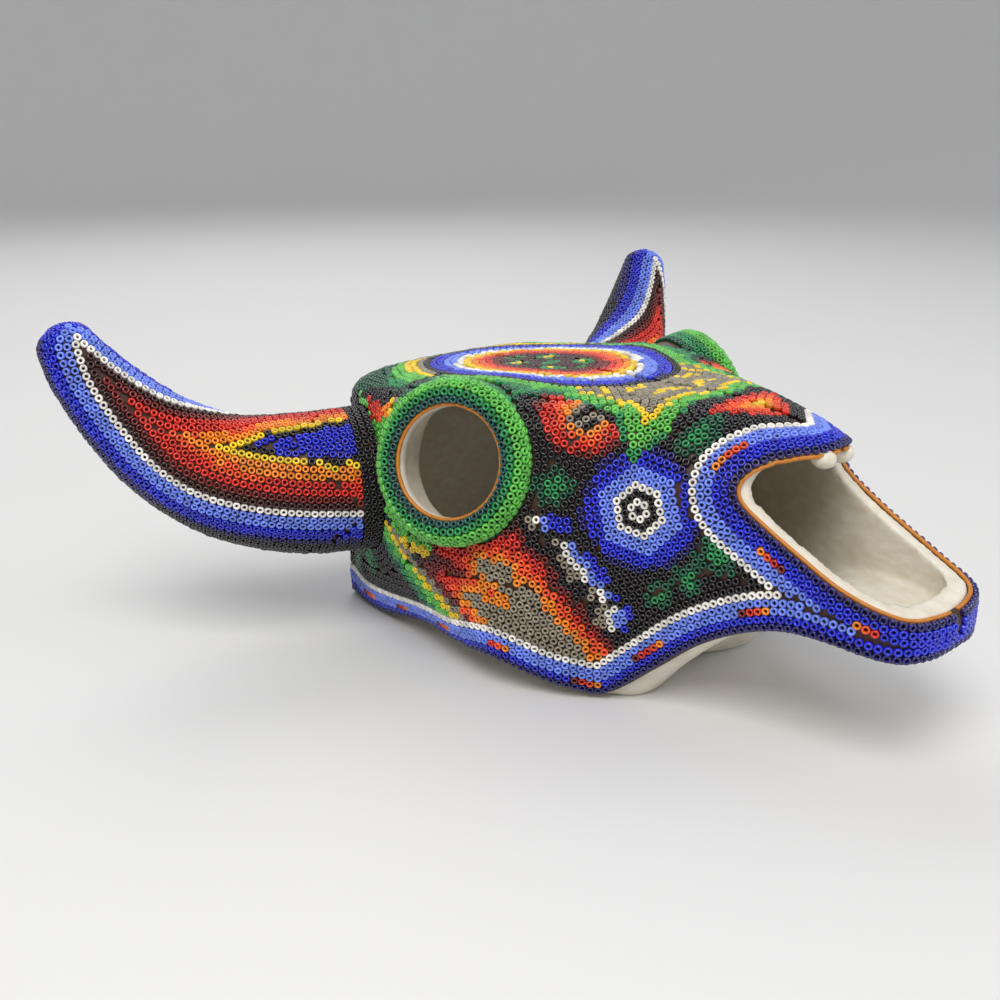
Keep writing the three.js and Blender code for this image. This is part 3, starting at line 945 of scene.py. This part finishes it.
def settle(carrier, beads, allowed, field, draw_places):
    """Relaxes a field and fills its gaps in turns; beads is added to."""
    for gap in (0.86, 0.84, 0.82):
        relax(carrier, beads, allowed, 10)
        beads += fill_gaps(carrier, draw_places(), allowed, field, gap * PITCH)
    relax(carrier, beads, allowed, 14)


horn_added = grow(horn_carrier, range(v_start, v_end), on_horn, "horn")
settle(horn_carrier, horn_added, on_horn, "horn", lambda: horn_point(
    0.05 + 0.95 * rng.random(9000), 2 * math.pi * rng.random(9000), BEAD_DEPTH))


def banded(value, bands, otherwise):
    for limit, colour in bands:
        if value < limit:
            return colour
    return otherwise


from_v = EdgeDistance(v_line)
for n in horn_added:
    distance = from_v(layout.points[n])
    if is_inside_v(layout.points[n]):
        layout.colours[n] = banded(distance, INSIDE_V, "blue")
    else:
        layout.colours[n] = banded(distance, OUTSIDE_V, "black")
print("BEADS on bands, ring and horn", len(layout.points), flush=True)

# Cheek flower: a hexagon of beads round a middle bead.
FLOWER = (-126.8, 54.2)  # y, z
FLOWER_REACH = 14.5
CROWN_FROM = 62  # the crown's patterns stop at this height


def on_cheek(y, z):
    """The place on the left cheek at a height and a distance along the head."""
    place = np.array([45.0, y, z])
    for _ in range(12):
        found, normal, _ = head_carrier.nearest(place)
        place = np.array([found[0], y, z])
    return found, normal


flower_at, flower_normal = on_cheek(*FLOWER)
first = len(layout.points)
layout.add(flower_at, flower_normal, None, "cheek")
lean = unit(np.cross(flower_normal, [0, 0, 1.0]))
lift = np.cross(flower_normal, lean)
for k in range(6):
    angle = k * math.pi / 3 + 0.2
    around_it = math.cos(angle) * lean + math.sin(angle) * lift
    place, normal, _ = head_carrier.nearest(flower_at + PITCH * around_it)
    layout.add(place, normal, None, "cheek", 1)


def clear_of_rest(point):
    """Whether a bead of the head's open fields may lie at a point."""
    if point[0] < HALF_LIMIT - 0.02:
        return False
    if from_opening(point) < BAND_START + 5.9 * BAND_ROW:
        return False
    if from_hem(point) < BAND_START + 4.9 * BAND_ROW:
        return False
    if not grid_is_beaded[grid_tree.find(Vector(point))[1]]:
        return False
    gap = np.asarray(point) - EYE
    off_axis = np.linalg.norm(gap - (gap @ EYE_AXIS) * EYE_AXIS)
    if off_axis < RING_RADIUS + 0.35 and gap @ EYE_AXIS > -16:
        return False
    return horn_carrier.height(point) > 0.75


grow(
    head_carrier, range(first, len(layout.points)),
    lambda p: math.dist(p, flower_at) < FLOWER_REACH and clear_of_rest(p), "head",
)

# Medallion: a hexagonal field in the middle, and rows that follow its outline.
MEDALLION_HALF = (22.5, 30.0)
MEDALLION_Y = -63.0
MEDALLION_SCALE = 26.0


def medallion_field(points):
    points = np.asarray(points, float)
    across = points[..., 0] / MEDALLION_HALF[0]
    along = (points[..., 1] - MEDALLION_Y) / MEDALLION_HALF[1]
    ratio = np.sqrt(across ** 2 + along ** 2)
    return (ratio - 1) * MEDALLION_SCALE


def on_crown(x, y):
    found, normal, _ = head_carrier.nearest((x, y, 90.0))
    for _ in range(6):
        found, normal, _ = head_carrier.nearest((x, y, found[2] + 2))
    return found, normal


crown_field = np.where(grid_points[..., 2] > CROWN_FROM, medallion_field(grid_points), 99.0)
for level in (-11.4, 9.2):
    for line in contour(crown_field, level, grid_points):
        line = trimmed(line)
        if len(line) > 6:
            lay_line(head_carrier, line, lambda p: None, "head", LINE_GAP)
first = len(layout.points)
for y in (MEDALLION_Y, MEDALLION_Y - PITCH):
    place, normal = on_crown(HALF_LIMIT, y)
    layout.add(place, normal, None, "head")
grow(
    head_carrier, range(first, len(layout.points)),
    lambda p: p[2] > CROWN_FROM and p[0] > HALF_LIMIT - 0.02 and medallion_field(p) < -12.4, "head",
)
on_head = [n for n, f in enumerate(layout.fields) if f != "horn"]
for n in on_head:
    layout.rows[n] = 0
grow(head_carrier, on_head, clear_of_rest, "head")
print("BEADS on the left half", len(layout.points), flush=True)


open_head = [n for n, field in enumerate(layout.fields) if field in ("head", "cheek")]
settle(head_carrier, open_head, clear_of_rest, "head", lambda: head_point(
    rng.random(24000) * 0.5, 0.01 + 0.98 * rng.random(24000)))
print("BEADS after filling", len(layout.points), flush=True)

# ------------------------------------------------------------------ colours of the open fields
STAR_HALF = [
    (0, -19), (22, -22), (36, -34), (47, -52), (47, -78), (40, -88), (30, -93), (27.5, -104), (27, -113),
    (30.5, -121.5), (24, -127.5), (12, -125.5), (0, -128.5),
]
STAR = np.array(STAR_HALF + [(-x, y) for x, y in STAR_HALF[-2:0:-1]], float)
NOSE_WEDGE = [(-14.5, -131), (14.5, -131), (0, -147)]
FLAME_CORE = [
    (-116, 12), (-111.5, 19), (-107.5, 25), (-104, 31), (-100, 31), (-98, 35.5), (-89, 35.5), (-88.5, 33),
    (-92, 30.5), (-97.5, 28.5), (-98.5, 24.5), (-95, 25.2), (-86, 26), (-84.5, 24.5), (-90, 21.5),
    (-93, 18.5), (-96, 17.3), (-106, 16), (-109, 12),
]
FLAME_EDGE = [
    (-122, 10), (-116.5, 20), (-112, 27), (-107.5, 33.5), (-105, 38.5), (-101, 39.5), (-99, 43.5),
    (-95, 43.5), (-91, 41), (-84, 39.5), (-76.5, 37.5), (-76, 34.5), (-84, 32), (-85, 30.5),
    (-79, 29.5), (-71, 28.5),
    (-77, 25.5), (-82, 23), (-84, 20), (-90, 17), (-93, 8),
]
RIDGE = np.array([(-90, 13.5), (-84, 17), (-77, 20.5), (-68, 25.5), (-60, 31), (-52, 38), (-45, 46)], float)
ROOT_WEDGE = [(-56, 76), (-40, 73), (-34, 68), (-40, 62.5), (-49, 65), (-54, 69)]
MEDALLION_BANDS = [
    (-11.6, "dark_red"), (-9.4, "dark_red"), (-7.4, "red"), (-5.6, "orange_red"), (-3.5, "orange"),
    (-1.5, "yellow"), (0.9, "white"), (4.4, "light_blue"), (7.4, "blue"), (8.6, "navy"), (10.4, "black"),
]
STAR_BANDS = [(2.0, "dark_green"), (4.0, "green"), (7.6, "light_green"), (9.8, "yellow"), (99, "taupe")]
STAR_POINT_BANDS = [(1.0, "green"), (4.6, "light_green"), (6.6, "yellow"), (99, "taupe")]
SIDE_BANDS = [(14, "light_green"), (17.5, "green"), (99, "dark_green")]
REAR_BANDS = [
    (12.4, "taupe"), (15.4, "yellow"), (21, "light_green"), (25, "green"), (29.5, "dark_green"),
    (999, "black"),
]
FLOWER_BANDS = [(1.2, "black"), (3.05, "white"), (4.95, "black"), (6.7, "white"), (10.6, "light_blue"),
                (14.0, "blue"), (15.4, "navy")]
CRESCENT = (31.0, -107.5, 73.0)
CRESCENT_BANDS = [(5.0, "orange"), (6.9, "orange_red"), (9.0, "red"), (10.2, "dark_red")]
# Small clusters on the cheek: y, z, radius.
CLUSTERS = [(-133.5, 71.5, 4.4), (-105.3, 56.8, 4.8), (-145, 45.5, 5.4), (-138.5, 38.5, 4), (-131.5, 33, 3.6),
            (-37, 20, 5), (-25, 14.5, 4)]
# Dashes on the cheek: low z, high z, y of the rear end at the top, its slope, and the length.
CHEEK_DASHES = [
    (46.0, 49.9, -99.2, 0.55, 10.8), (42.2, 44.6, -106.6, 0.3, 5.6), (33.6, 41.2, -108.6, 0.5, 9.4),
    (29.6, 32.4, -114.8, 0.2, 8.8), (21.4, 28.6, -118.0, -0.15, 7.6),
]
DASH_BANDS = [(2.1, "taupe"), (4.2, "white"), (6.6, "light_blue"), (99, "blue")]
ROOT_BANDS = [(-52, "taupe"), (-49.8, "yellow"), (-47, "orange"), (-43.5, "orange_red"), (99, "red")]
WEDGE_BANDS = [(1.6, "red"), (3.3, "orange_red"), (5.2, "orange"), (99, "yellow")]
RIDGE_BANDS = [(2.1, "yellow"), (5.0, "light_green"), (7.4, "green"), (9.6, "dark_green")]
FLAME_BANDS = [(2.1, "orange"), (4.2, "orange_red"), (99, "red")]
ZIGZAGS = [[(14, -106), (7.5, -105.2)], [(12.5, -114), (6, -112), (2.5, -117.5)], [(20, -103), (15, -99)]]


def segment_distance(point, a, b):
    a, b, p = np.array(a, float), np.array(b, float), np.array(point, float)
    t = np.clip(((p - a) @ (b - a)) / ((b - a) @ (b - a)), 0, 1)
    return float(np.linalg.norm(p - a - t * (b - a)))


def ridge_side(y, z):
    """Signed distance from the cheek ridge, positive behind and below it."""
    best, side = 1e9, 1.0
    for a, b in zip(RIDGE[:-1], RIDGE[1:]):
        d = segment_distance((y, z), a, b)
        if d < best:
            best = d
            side = (b[0] - a[0]) * (z - a[1]) - (b[1] - a[1]) * (y - a[0])
    return best if side < 0 else -best


open_beads = [n for n, colour in enumerate(layout.colours) if colour is None]
at = np.array([layout.points[n] for n in open_beads])
facing = np.array([layout.normals[n] for n in open_beads])
star_depth = -outline_distance(at[:, :2], STAR)
wedge_depth = -outline_distance(at[:, :2], NOSE_WEDGE)
flame_core = outline_distance(at[:, 1:], FLAME_CORE)
flame_edge = outline_distance(at[:, 1:], FLAME_EDGE)
root_wedge = outline_distance(at[:, 1:], ROOT_WEDGE)
medallion_at = medallion_field(at)


def flower_colour(x, y):
    """Small flowers in the medallion's middle: a yellow bead with six green ones round it."""
    spacing_x, spacing_y = 6.6, 7.4
    best = 1e9
    for i in (-1, 0, 1):
        for j in (-3, -2, -1, 0, 1, 2, 3):
            if abs(i) % 2 != abs(j) % 2:
                continue
            best = min(best, math.hypot(x - i * spacing_x, y - MEDALLION_Y + 1 - j * spacing_y))
    if best < 1.25:
        return "yellow"
    return "green" if best < 3.1 else "brown"


def open_colour(k):
    x, y, z = at[k]
    up = (facing[k][2] > 0.35 and z > 62) or (y < -88 and facing[k][2] > 0.15 and z > 67)
    if up and medallion_at[k] < 10.4:
        if medallion_at[k] < -12.6:
            return flower_colour(x, y)
        return banded(medallion_at[k], MEDALLION_BANDS, "black")
    if up and star_depth[k] > 0:
        if y > -50:
            return banded(medallion_at[k], REAR_BANDS, "black")
        if y > -52.2:
            return "black"
        if y > -87 and medallion_at[k] > 0 and x > 20:
            return banded(medallion_at[k], SIDE_BANDS, "dark_green")
        colour = banded(star_depth[k], STAR_POINT_BANDS if y < -96 else STAR_BANDS, "taupe")
        if colour == "taupe":
            for line in ZIGZAGS:
                if any(segment_distance((x, y), a, b) < 1.25 for a, b in zip(line[:-1], line[1:])):
                    return "yellow"
        return colour
    if up and y > -50 and z > 66:
        return "dark_green" if x < 42 else "black"
    if root_wedge[k] < 0 and x > 36:
        return banded(y, ROOT_BANDS, "red")
    if up and wedge_depth[k] > 0:
        return banded(wedge_depth[k], WEDGE_BANDS, "red")
    dx, dy, dz = x - CRESCENT[0], y - CRESCENT[1], z - CRESCENT[2]
    crescent = math.sqrt((dy / (1.55 if dy > 0 else 1.0)) ** 2 + dx ** 2 + dz ** 2)
    if crescent < 10.2 and x > 28.4:
        if crescent < 3.7:
            return "taupe" if min(abs(y + 103.6), abs(y + 107.7), abs(y + 111.5)) < 1.05 else "black"
        return banded(crescent, CRESCENT_BANDS, "dark_red")
    to_flower = math.dist(at[k], flower_at)
    if to_flower < 15.4:
        return banded(to_flower, FLOWER_BANDS, "navy")
    if y > -62 and facing[k][1] > 0.6 and z < 60:
        return "black"
    for low, high, end, slope, length in CHEEK_DASHES:
        back = end + slope * (z - high) - y
        if low < z < high and 0 < back < length:
            return banded(back, DASH_BANDS, "blue")
    if flame_edge[k] < 0:
        if flame_core[k] < 0:
            return "taupe"
        return banded(flame_core[k], FLAME_BANDS, "red")
    ridge = ridge_side(y, z)
    if y > -91 and x > 20:
        if -2.2 < ridge < 0 and y < -56:
            return "taupe"
        if 0 <= ridge < 11:
            return banded(ridge, RIDGE_BANDS, "black")
        if ridge < -2.2 and y > -73 and z > 32:
            return "yellow" if z < 35 else "light_green"
    if flame_edge[k] < 2.0:
        return "dark_red"
    for cy, cz, radius in CLUSTERS:
        d = math.hypot(y - cy, z - cz)
        if d < radius:
            return "green" if d < radius * 0.5 else "dark_green"
    if flame_edge[k] < 4.0 and y > -100:
        return "brown"
    return "black"


for k, n in enumerate(open_beads):
    layout.colours[n] = open_colour(k)

# ------------------------------------------------------------------ which field a bead belongs to
MEDALLION_OUTLINE = (31.5, 39.0, -63.5)


def field_of_open(point):
    x, y, z = point
    half_width, half_length, middle = MEDALLION_OUTLINE
    if z > 58 and (x / half_width) ** 2 + ((y - middle) / half_length) ** 2 < 1:
        return "forehead_medallion"
    if z > 58 and outline_distance([(x, y)], STAR)[0] < 0:
        return "forehead_star"
    if x < 19 and -175 < y < -100 and z > 64:
        return "nose_bridge"
    if y > -26:
        return "occiput"
    return "cheek" if y < -80 else "temple"


for n in range(len(layout.points)):
    if layout.fields[n] in ("head", "cheek"):
        layout.fields[n] = field_of_open(layout.points[n])

# ------------------------------------------------------------------ bead colours
PALETTE = {
    "white": (0.84, 0.81, 0.75), "light_blue": (0.16, 0.25, 0.82), "blue": (0.015, 0.025, 0.56),
    "navy": (0.012, 0.010, 0.13), "black": (0.010, 0.008, 0.010), "brown": (0.05, 0.013, 0.010),
    "dark_red": (0.16, 0.010, 0.008), "red": (0.62, 0.022, 0.010), "orange_red": (0.83, 0.085, 0.012),
    "orange": (0.86, 0.25, 0.010), "yellow": (0.85, 0.60, 0.012), "light_green": (0.12, 0.50, 0.07),
    "green": (0.018, 0.25, 0.075), "dark_green": (0.008, 0.085, 0.042), "dark_teal": (0.015, 0.095, 0.085),
    "taupe": (0.27, 0.235, 0.17),
}
TINTS = (0.86, 1.0, 1.16)
bead_materials = {}


def new_material(name, **values):
    """A node material with some of its shader's values set."""
    material = bpy.data.materials.new(name)
    material.use_nodes = True
    shader = material.node_tree.nodes["Principled BSDF"]
    for socket, value in values.items():
        shader.inputs[socket.replace("_", " ")].default_value = value
    return material, material.node_tree.nodes, material.node_tree.links, shader


def noise_node(nodes, scale, detail=2.0):
    noise = nodes.new("ShaderNodeTexNoise")
    noise.inputs["Scale"].default_value = scale
    noise.inputs["Detail"].default_value = detail
    return noise


def bump_from(nodes, links, noise, strength, distance, socket):
    bump = nodes.new("ShaderNodeBump")
    bump.inputs["Strength"].default_value = strength
    bump.inputs["Distance"].default_value = distance
    links.new(noise.outputs["Fac"], bump.inputs["Height"])
    links.new(bump.outputs["Normal"], socket)


def colour_from(nodes, links, noise, low, high, shader):
    """Base colour that goes from low to high; each is a place on the ramp and a colour."""
    ramp = nodes.new("ShaderNodeValToRGB")
    for element, (position, colour) in zip(ramp.color_ramp.elements, (low, high)):
        element.position = position
        element.color = (*colour, 1)
    links.new(noise.outputs["Fac"], ramp.inputs["Fac"])
    links.new(ramp.outputs["Color"], shader.inputs["Base Color"])


def bead_material(colour, tint):
    """Glossy opaque glass with a faint unevenness in its shine."""
    key = (colour, tint)
    if key in bead_materials:
        return bead_materials[key]
    base = [min(1.0, c * TINTS[tint]) for c in PALETTE[colour]]
    material, nodes, links, shader = new_material(
        f"glass_{colour}_{tint + 1}", Base_Color=(*base, 1), Roughness=0.24, IOR=1.52, Coat_Weight=0.3,
        Coat_Roughness=0.07,
    )
    bump_from(nodes, links, noise_node(nodes, 1400.0, 1.0), 0.12, 0.0001, shader.inputs["Coat Normal"])
    bead_materials[key] = material
    return material


# ------------------------------------------------------------------ bead meshes
BEAD_SEGMENTS = 12
BEAD_SECTION = np.array([
    (1.0, -0.10), (0.965, 0.34), (0.80, 0.49), (0.60, 0.48), (0.42, 0.30), (0.40, -0.45), (0.88, -0.48),
])
# How far single beads differ: lean, height in the wax, width and thickness.
BEAD_LEAN, BEAD_SINK, BEAD_WIDTH, BEAD_THICKNESS = 0.055, 0.05, 0.018, 0.05
angles = np.arange(BEAD_SEGMENTS) * 2 * math.pi / BEAD_SEGMENTS
template = np.array([
    (BEAD_RADIUS * r * math.cos(a), BEAD_RADIUS * r * math.sin(a), BEAD_HEIGHT * h)
    for a in angles for r, h in BEAD_SECTION
])
SECTION_COUNT = len(BEAD_SECTION)
template_faces = np.array([
    (a + k, b + k, b + m, a + m)
    for a, b in [(s * SECTION_COUNT, (s + 1) % BEAD_SEGMENTS * SECTION_COUNT) for s in range(BEAD_SEGMENTS)]
    for k, m in [(k, (k + 1) % SECTION_COUNT) for k in range(SECTION_COUNT)]
])


def bead_piece(name, members, mirrored):
    """One mesh of many beads; members are places in the layout, mirrored says which are flipped over."""
    points = np.array([layout.points[n] for n in members])
    normals = np.array([layout.normals[n] for n in members])
    flip = np.hstack([np.where(mirrored, -1.0, 1.0)[:, None], np.ones((len(members), 2))])
    points, normals = points * flip, normals * flip
    count = len(points)
    normals = unit(normals + rng.normal(0, BEAD_LEAN, (count, 3)))
    points = points + normals * rng.normal(0, BEAD_SINK, (count, 1))
    helper = np.where(np.abs(normals[:, 2:3]) > 0.9, np.array([[1.0, 0, 0]]), np.array([[0, 0, 1.0]]))
    first = unit(np.cross(helper, normals))
    second = np.cross(normals, first)
    spin = rng.random((count, 1)) * 2 * math.pi
    axis_a = np.cos(spin) * first + np.sin(spin) * second
    axis_b = np.cross(normals, axis_a)
    width = 1 + rng.normal(0, BEAD_WIDTH, (count, 1))
    tall = 1 + rng.normal(0, BEAD_THICKNESS, (count, 1))
    verts = (
        points[:, None, :]
        + template[None, :, 0:1] * (axis_a * width)[:, None, :]
        + template[None, :, 1:2] * (axis_b * width)[:, None, :]
        + template[None, :, 2:3] * (normals * tall)[:, None, :]
    ).reshape(-1, 3)
    faces = (template_faces[None] + (np.arange(count) * len(template))[:, None, None]).reshape(-1, 4)
    mesh = bpy.data.meshes.new(name)
    mesh.vertices.add(len(verts))
    mesh.vertices.foreach_set("co", to_part(verts).ravel())
    mesh.loops.add(faces.size)
    mesh.loops.foreach_set("vertex_index", faces.ravel())
    mesh.polygons.add(len(faces))
    mesh.polygons.foreach_set("loop_start", np.arange(0, faces.size, 4))
    mesh.polygons.foreach_set("use_smooth", np.ones(len(faces), bool))
    slots = {}
    tints = rng.integers(0, len(TINTS), count)
    index = np.zeros(count, int)
    for k, n in enumerate(members):
        key = (layout.colours[n], int(tints[k]))
        if key not in slots:
            slots[key] = len(slots)
            mesh.materials.append(bead_material(*key))
        index[k] = slots[key]
    mesh.polygons.foreach_set("material_index", np.repeat(index, len(template_faces)))
    mesh.update(calc_edges=True)
    mesh.validate()
    obj = bpy.data.objects.new(name, mesh)
    bpy.context.scene.collection.objects.link(obj)
    return obj


SIDED = ("eye_ring", "cheek", "temple", "horn_collar", "horn")
PIECE_LIMIT = 1150

members_of = {}
for n, field in enumerate(layout.fields):
    members_of.setdefault(field, []).append(n)
made = []
for field, members in members_of.items():
    groups = []
    if field in SIDED:
        groups = [(f"beads_{field}_left", members, [False] * len(members)),
                  (f"beads_{field}_right", members, [True] * len(members))]
    else:
        groups = [(f"beads_{field}", members + members, [False] * len(members) + [True] * len(members))]
    for node, chosen, flipped in groups:
        order = np.argsort([layout.points[n][1] for n in chosen], kind="stable")
        parts = max(1, math.ceil(len(chosen) / PIECE_LIMIT))
        for number, chunk in enumerate(np.array_split(order, parts)):
            suffix = f"_{number + 1}" if parts > 1 else ""
            piece = bead_piece(
                f"seed_{node}{suffix}", [chosen[i] for i in chunk], np.array([flipped[i] for i in chunk])
            )
            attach(piece, "root")
            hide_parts(node)
            made.append(piece)
print("BEADS in all", sum(len(p.data.polygons) for p in made) // len(template_faces), flush=True)


# ------------------------------------------------------------------ ceramic and wax materials
def ceramic_material():
    material, nodes, links, shader = new_material(
        "cream_ceramic", Roughness=0.42, Coat_Weight=0.25, Coat_Roughness=0.2
    )
    mottle = noise_node(nodes, 38.0, 6.0)
    colour_from(nodes, links, mottle, (0.3, (0.70, 0.63, 0.50)), (0.7, (0.82, 0.78, 0.68)), shader)
    bump_from(nodes, links, noise_node(nodes, 420.0), 0.25, 0.0003, shader.inputs["Normal"])
    return material


def wax_material(name, dark, light):
    material, nodes, links, shader = new_material(name, Roughness=0.45)
    colour_from(nodes, links, noise_node(nodes, 120.0, 3.0), (0.0, dark), (1.0, light), shader)
    return material


ceramic = ceramic_material()
# Painted shade: the wax under the beads is coloured dark brown to stand in for the shade between the beads.
# The wax's own colour is the orange of its bare rims below.
beeswax = wax_material("beeswax_painted_shade", (0.030, 0.010, 0.004), (0.075, 0.026, 0.008))
rim_wax = wax_material("orange_beeswax", (0.42, 0.12, 0.008), (0.70, 0.27, 0.025))

# The bare edge of the wax along the nasal opening, the hem and the eye holes.
RIM_RADIUS, RIM_DEPTH = 0.55, 1.75
rims = []
for edge in (opening_edge, hem_edge):
    edge = chain_points(trimmed(edge), pitch=1.0)
    inward = np.array([head_carrier.nearest(p)[1] for p in edge])
    rims += both(tube(edge - inward * (RIM_DEPTH - BEAD_DEPTH), RIM_RADIUS))
turn = np.arange(72) * 2 * math.pi / 72
circle = np.cos(turn)[:, None] * axis_side + np.sin(turn)[:, None] * axis_up
rims += both(tube(EYE + EYE_AXIS * (RING_RISE - 2.1) + circle * (EYE_HOLE + 0.45), RIM_RADIUS, closed=True))
rim_verts, rim_faces = [], []
for verts, faces in rims:
    base = sum(len(v) for v in rim_verts)
    rim_verts.append(verts)
    rim_faces += [tuple(base + i for i in f) for f in faces]
wax_rims = make_object("wax_rims", np.vstack(rim_verts), rim_faces)
# The head's and the horns' wax coats take the dark wax with painted shade between the beads; only the rims
# show the wax's own orange.
for obj, node, material, slot in (
    (casting, "skull_casting", ceramic, "ceramic"), (wax, "skull_wax", beeswax, "beeswax"),
    (wax_rims, "skull_wax", rim_wax, "beeswax"), (wax_horn_left, "horn_wax_left", beeswax, "beeswax"),
    (wax_horn_right, "horn_wax_right", beeswax, "beeswax"),
):
    obj.data.materials.clear()
    obj.data.materials.append(material)
    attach(obj, "root")
    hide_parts(node)
for side in ("left", "right"):
    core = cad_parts[f"horn_core_{side}"]
    core.data.materials.clear()
    core.data.materials.append(ceramic)

# ------------------------------------------------------------------ floor, light and camera
# The floor is flat round the skull and sweeps up into a wall far behind it.
FLAT, SWEEP, WALL_TOP = 1.5, 1.1, 2.4
profile = [(FLAT, 0.0)] + [
    (FLAT + SWEEP * math.sin(a), SWEEP * (1 - math.cos(a))) for a in np.linspace(0, math.pi / 2, 17)[1:]
] + [(FLAT + SWEEP, WALL_TOP)]
AROUND = 96
turn = np.arange(AROUND) * 2 * math.pi / AROUND
floor_verts = [(0, 0, 0)] + [(r * math.cos(a), r * math.sin(a), z) for r, z in profile for a in turn]
floor_faces = [(0, 1 + k, 1 + (k + 1) % AROUND) for k in range(AROUND)]
floor_faces += [tuple(1 + i for i in reversed(face)) for face in ring_faces(len(profile), AROUND)]
floor_mesh = bpy.data.meshes.new("floor")
floor_mesh.from_pydata(floor_verts, [], floor_faces)
floor_mesh.polygons.foreach_set("use_smooth", [True] * len(floor_mesh.polygons))
floor = bpy.data.objects.new("floor", floor_mesh)
bpy.context.scene.collection.objects.link(floor)
floor.data.materials.append(new_material("pale_floor", Base_Color=(0.76, 0.755, 0.745, 1), Roughness=0.6)[0])


def area_light(name, place, target, size, power, colour=(1, 1, 1)):
    light = bpy.data.lights.new(name, "AREA")
    light.size = size
    light.energy = power
    light.color = colour
    obj = bpy.data.objects.new(name, light)
    obj.location = place
    obj.rotation_euler = (Vector(target) - Vector(place)).to_track_quat("-Z", "Y").to_euler()
    bpy.context.scene.collection.objects.link(obj)


CENTRE = (0, 0, 0.04)
area_light("key", (-0.55, -0.35, 0.95), CENTRE, 0.6, 8.2, (1.0, 0.985, 0.96))
area_light("fill", (0.55, -0.85, 0.55), CENTRE, 0.9, 3.4, (0.96, 0.98, 1.0))
area_light("back", (0.35, 0.75, 0.8), CENTRE, 0.8, 3.6, (1.0, 1.0, 1.0))
world = bpy.data.worlds.new("studio")
bpy.context.scene.world = world
world.use_nodes = True
world.node_tree.nodes["Background"].inputs["Color"].default_value = (0.93, 0.95, 1.0, 1)
world.node_tree.nodes["Background"].inputs["Strength"].default_value = 0.5

bpy.context.scene.view_settings.view_transform = "Standard"

AZIMUTH, ELEVATION = math.radians(-43.2204), math.radians(18.5428)
camera_data = bpy.data.cameras.new("camera")
camera_data.sensor_width = 36.0
camera_data.lens = 43.2
camera_data.clip_start = 0.01
camera = bpy.data.objects.new("camera", camera_data)
camera.location = (-0.24468, -0.20916, 0.14867)
level = math.cos(ELEVATION)
back = Vector((math.sin(AZIMUTH) * level, -math.cos(AZIMUTH) * level, math.sin(ELEVATION)))
camera.rotation_euler = (-back).to_track_quat("-Z", "Y").to_euler()
bpy.context.scene.collection.objects.link(camera)
bpy.context.scene.camera = camera
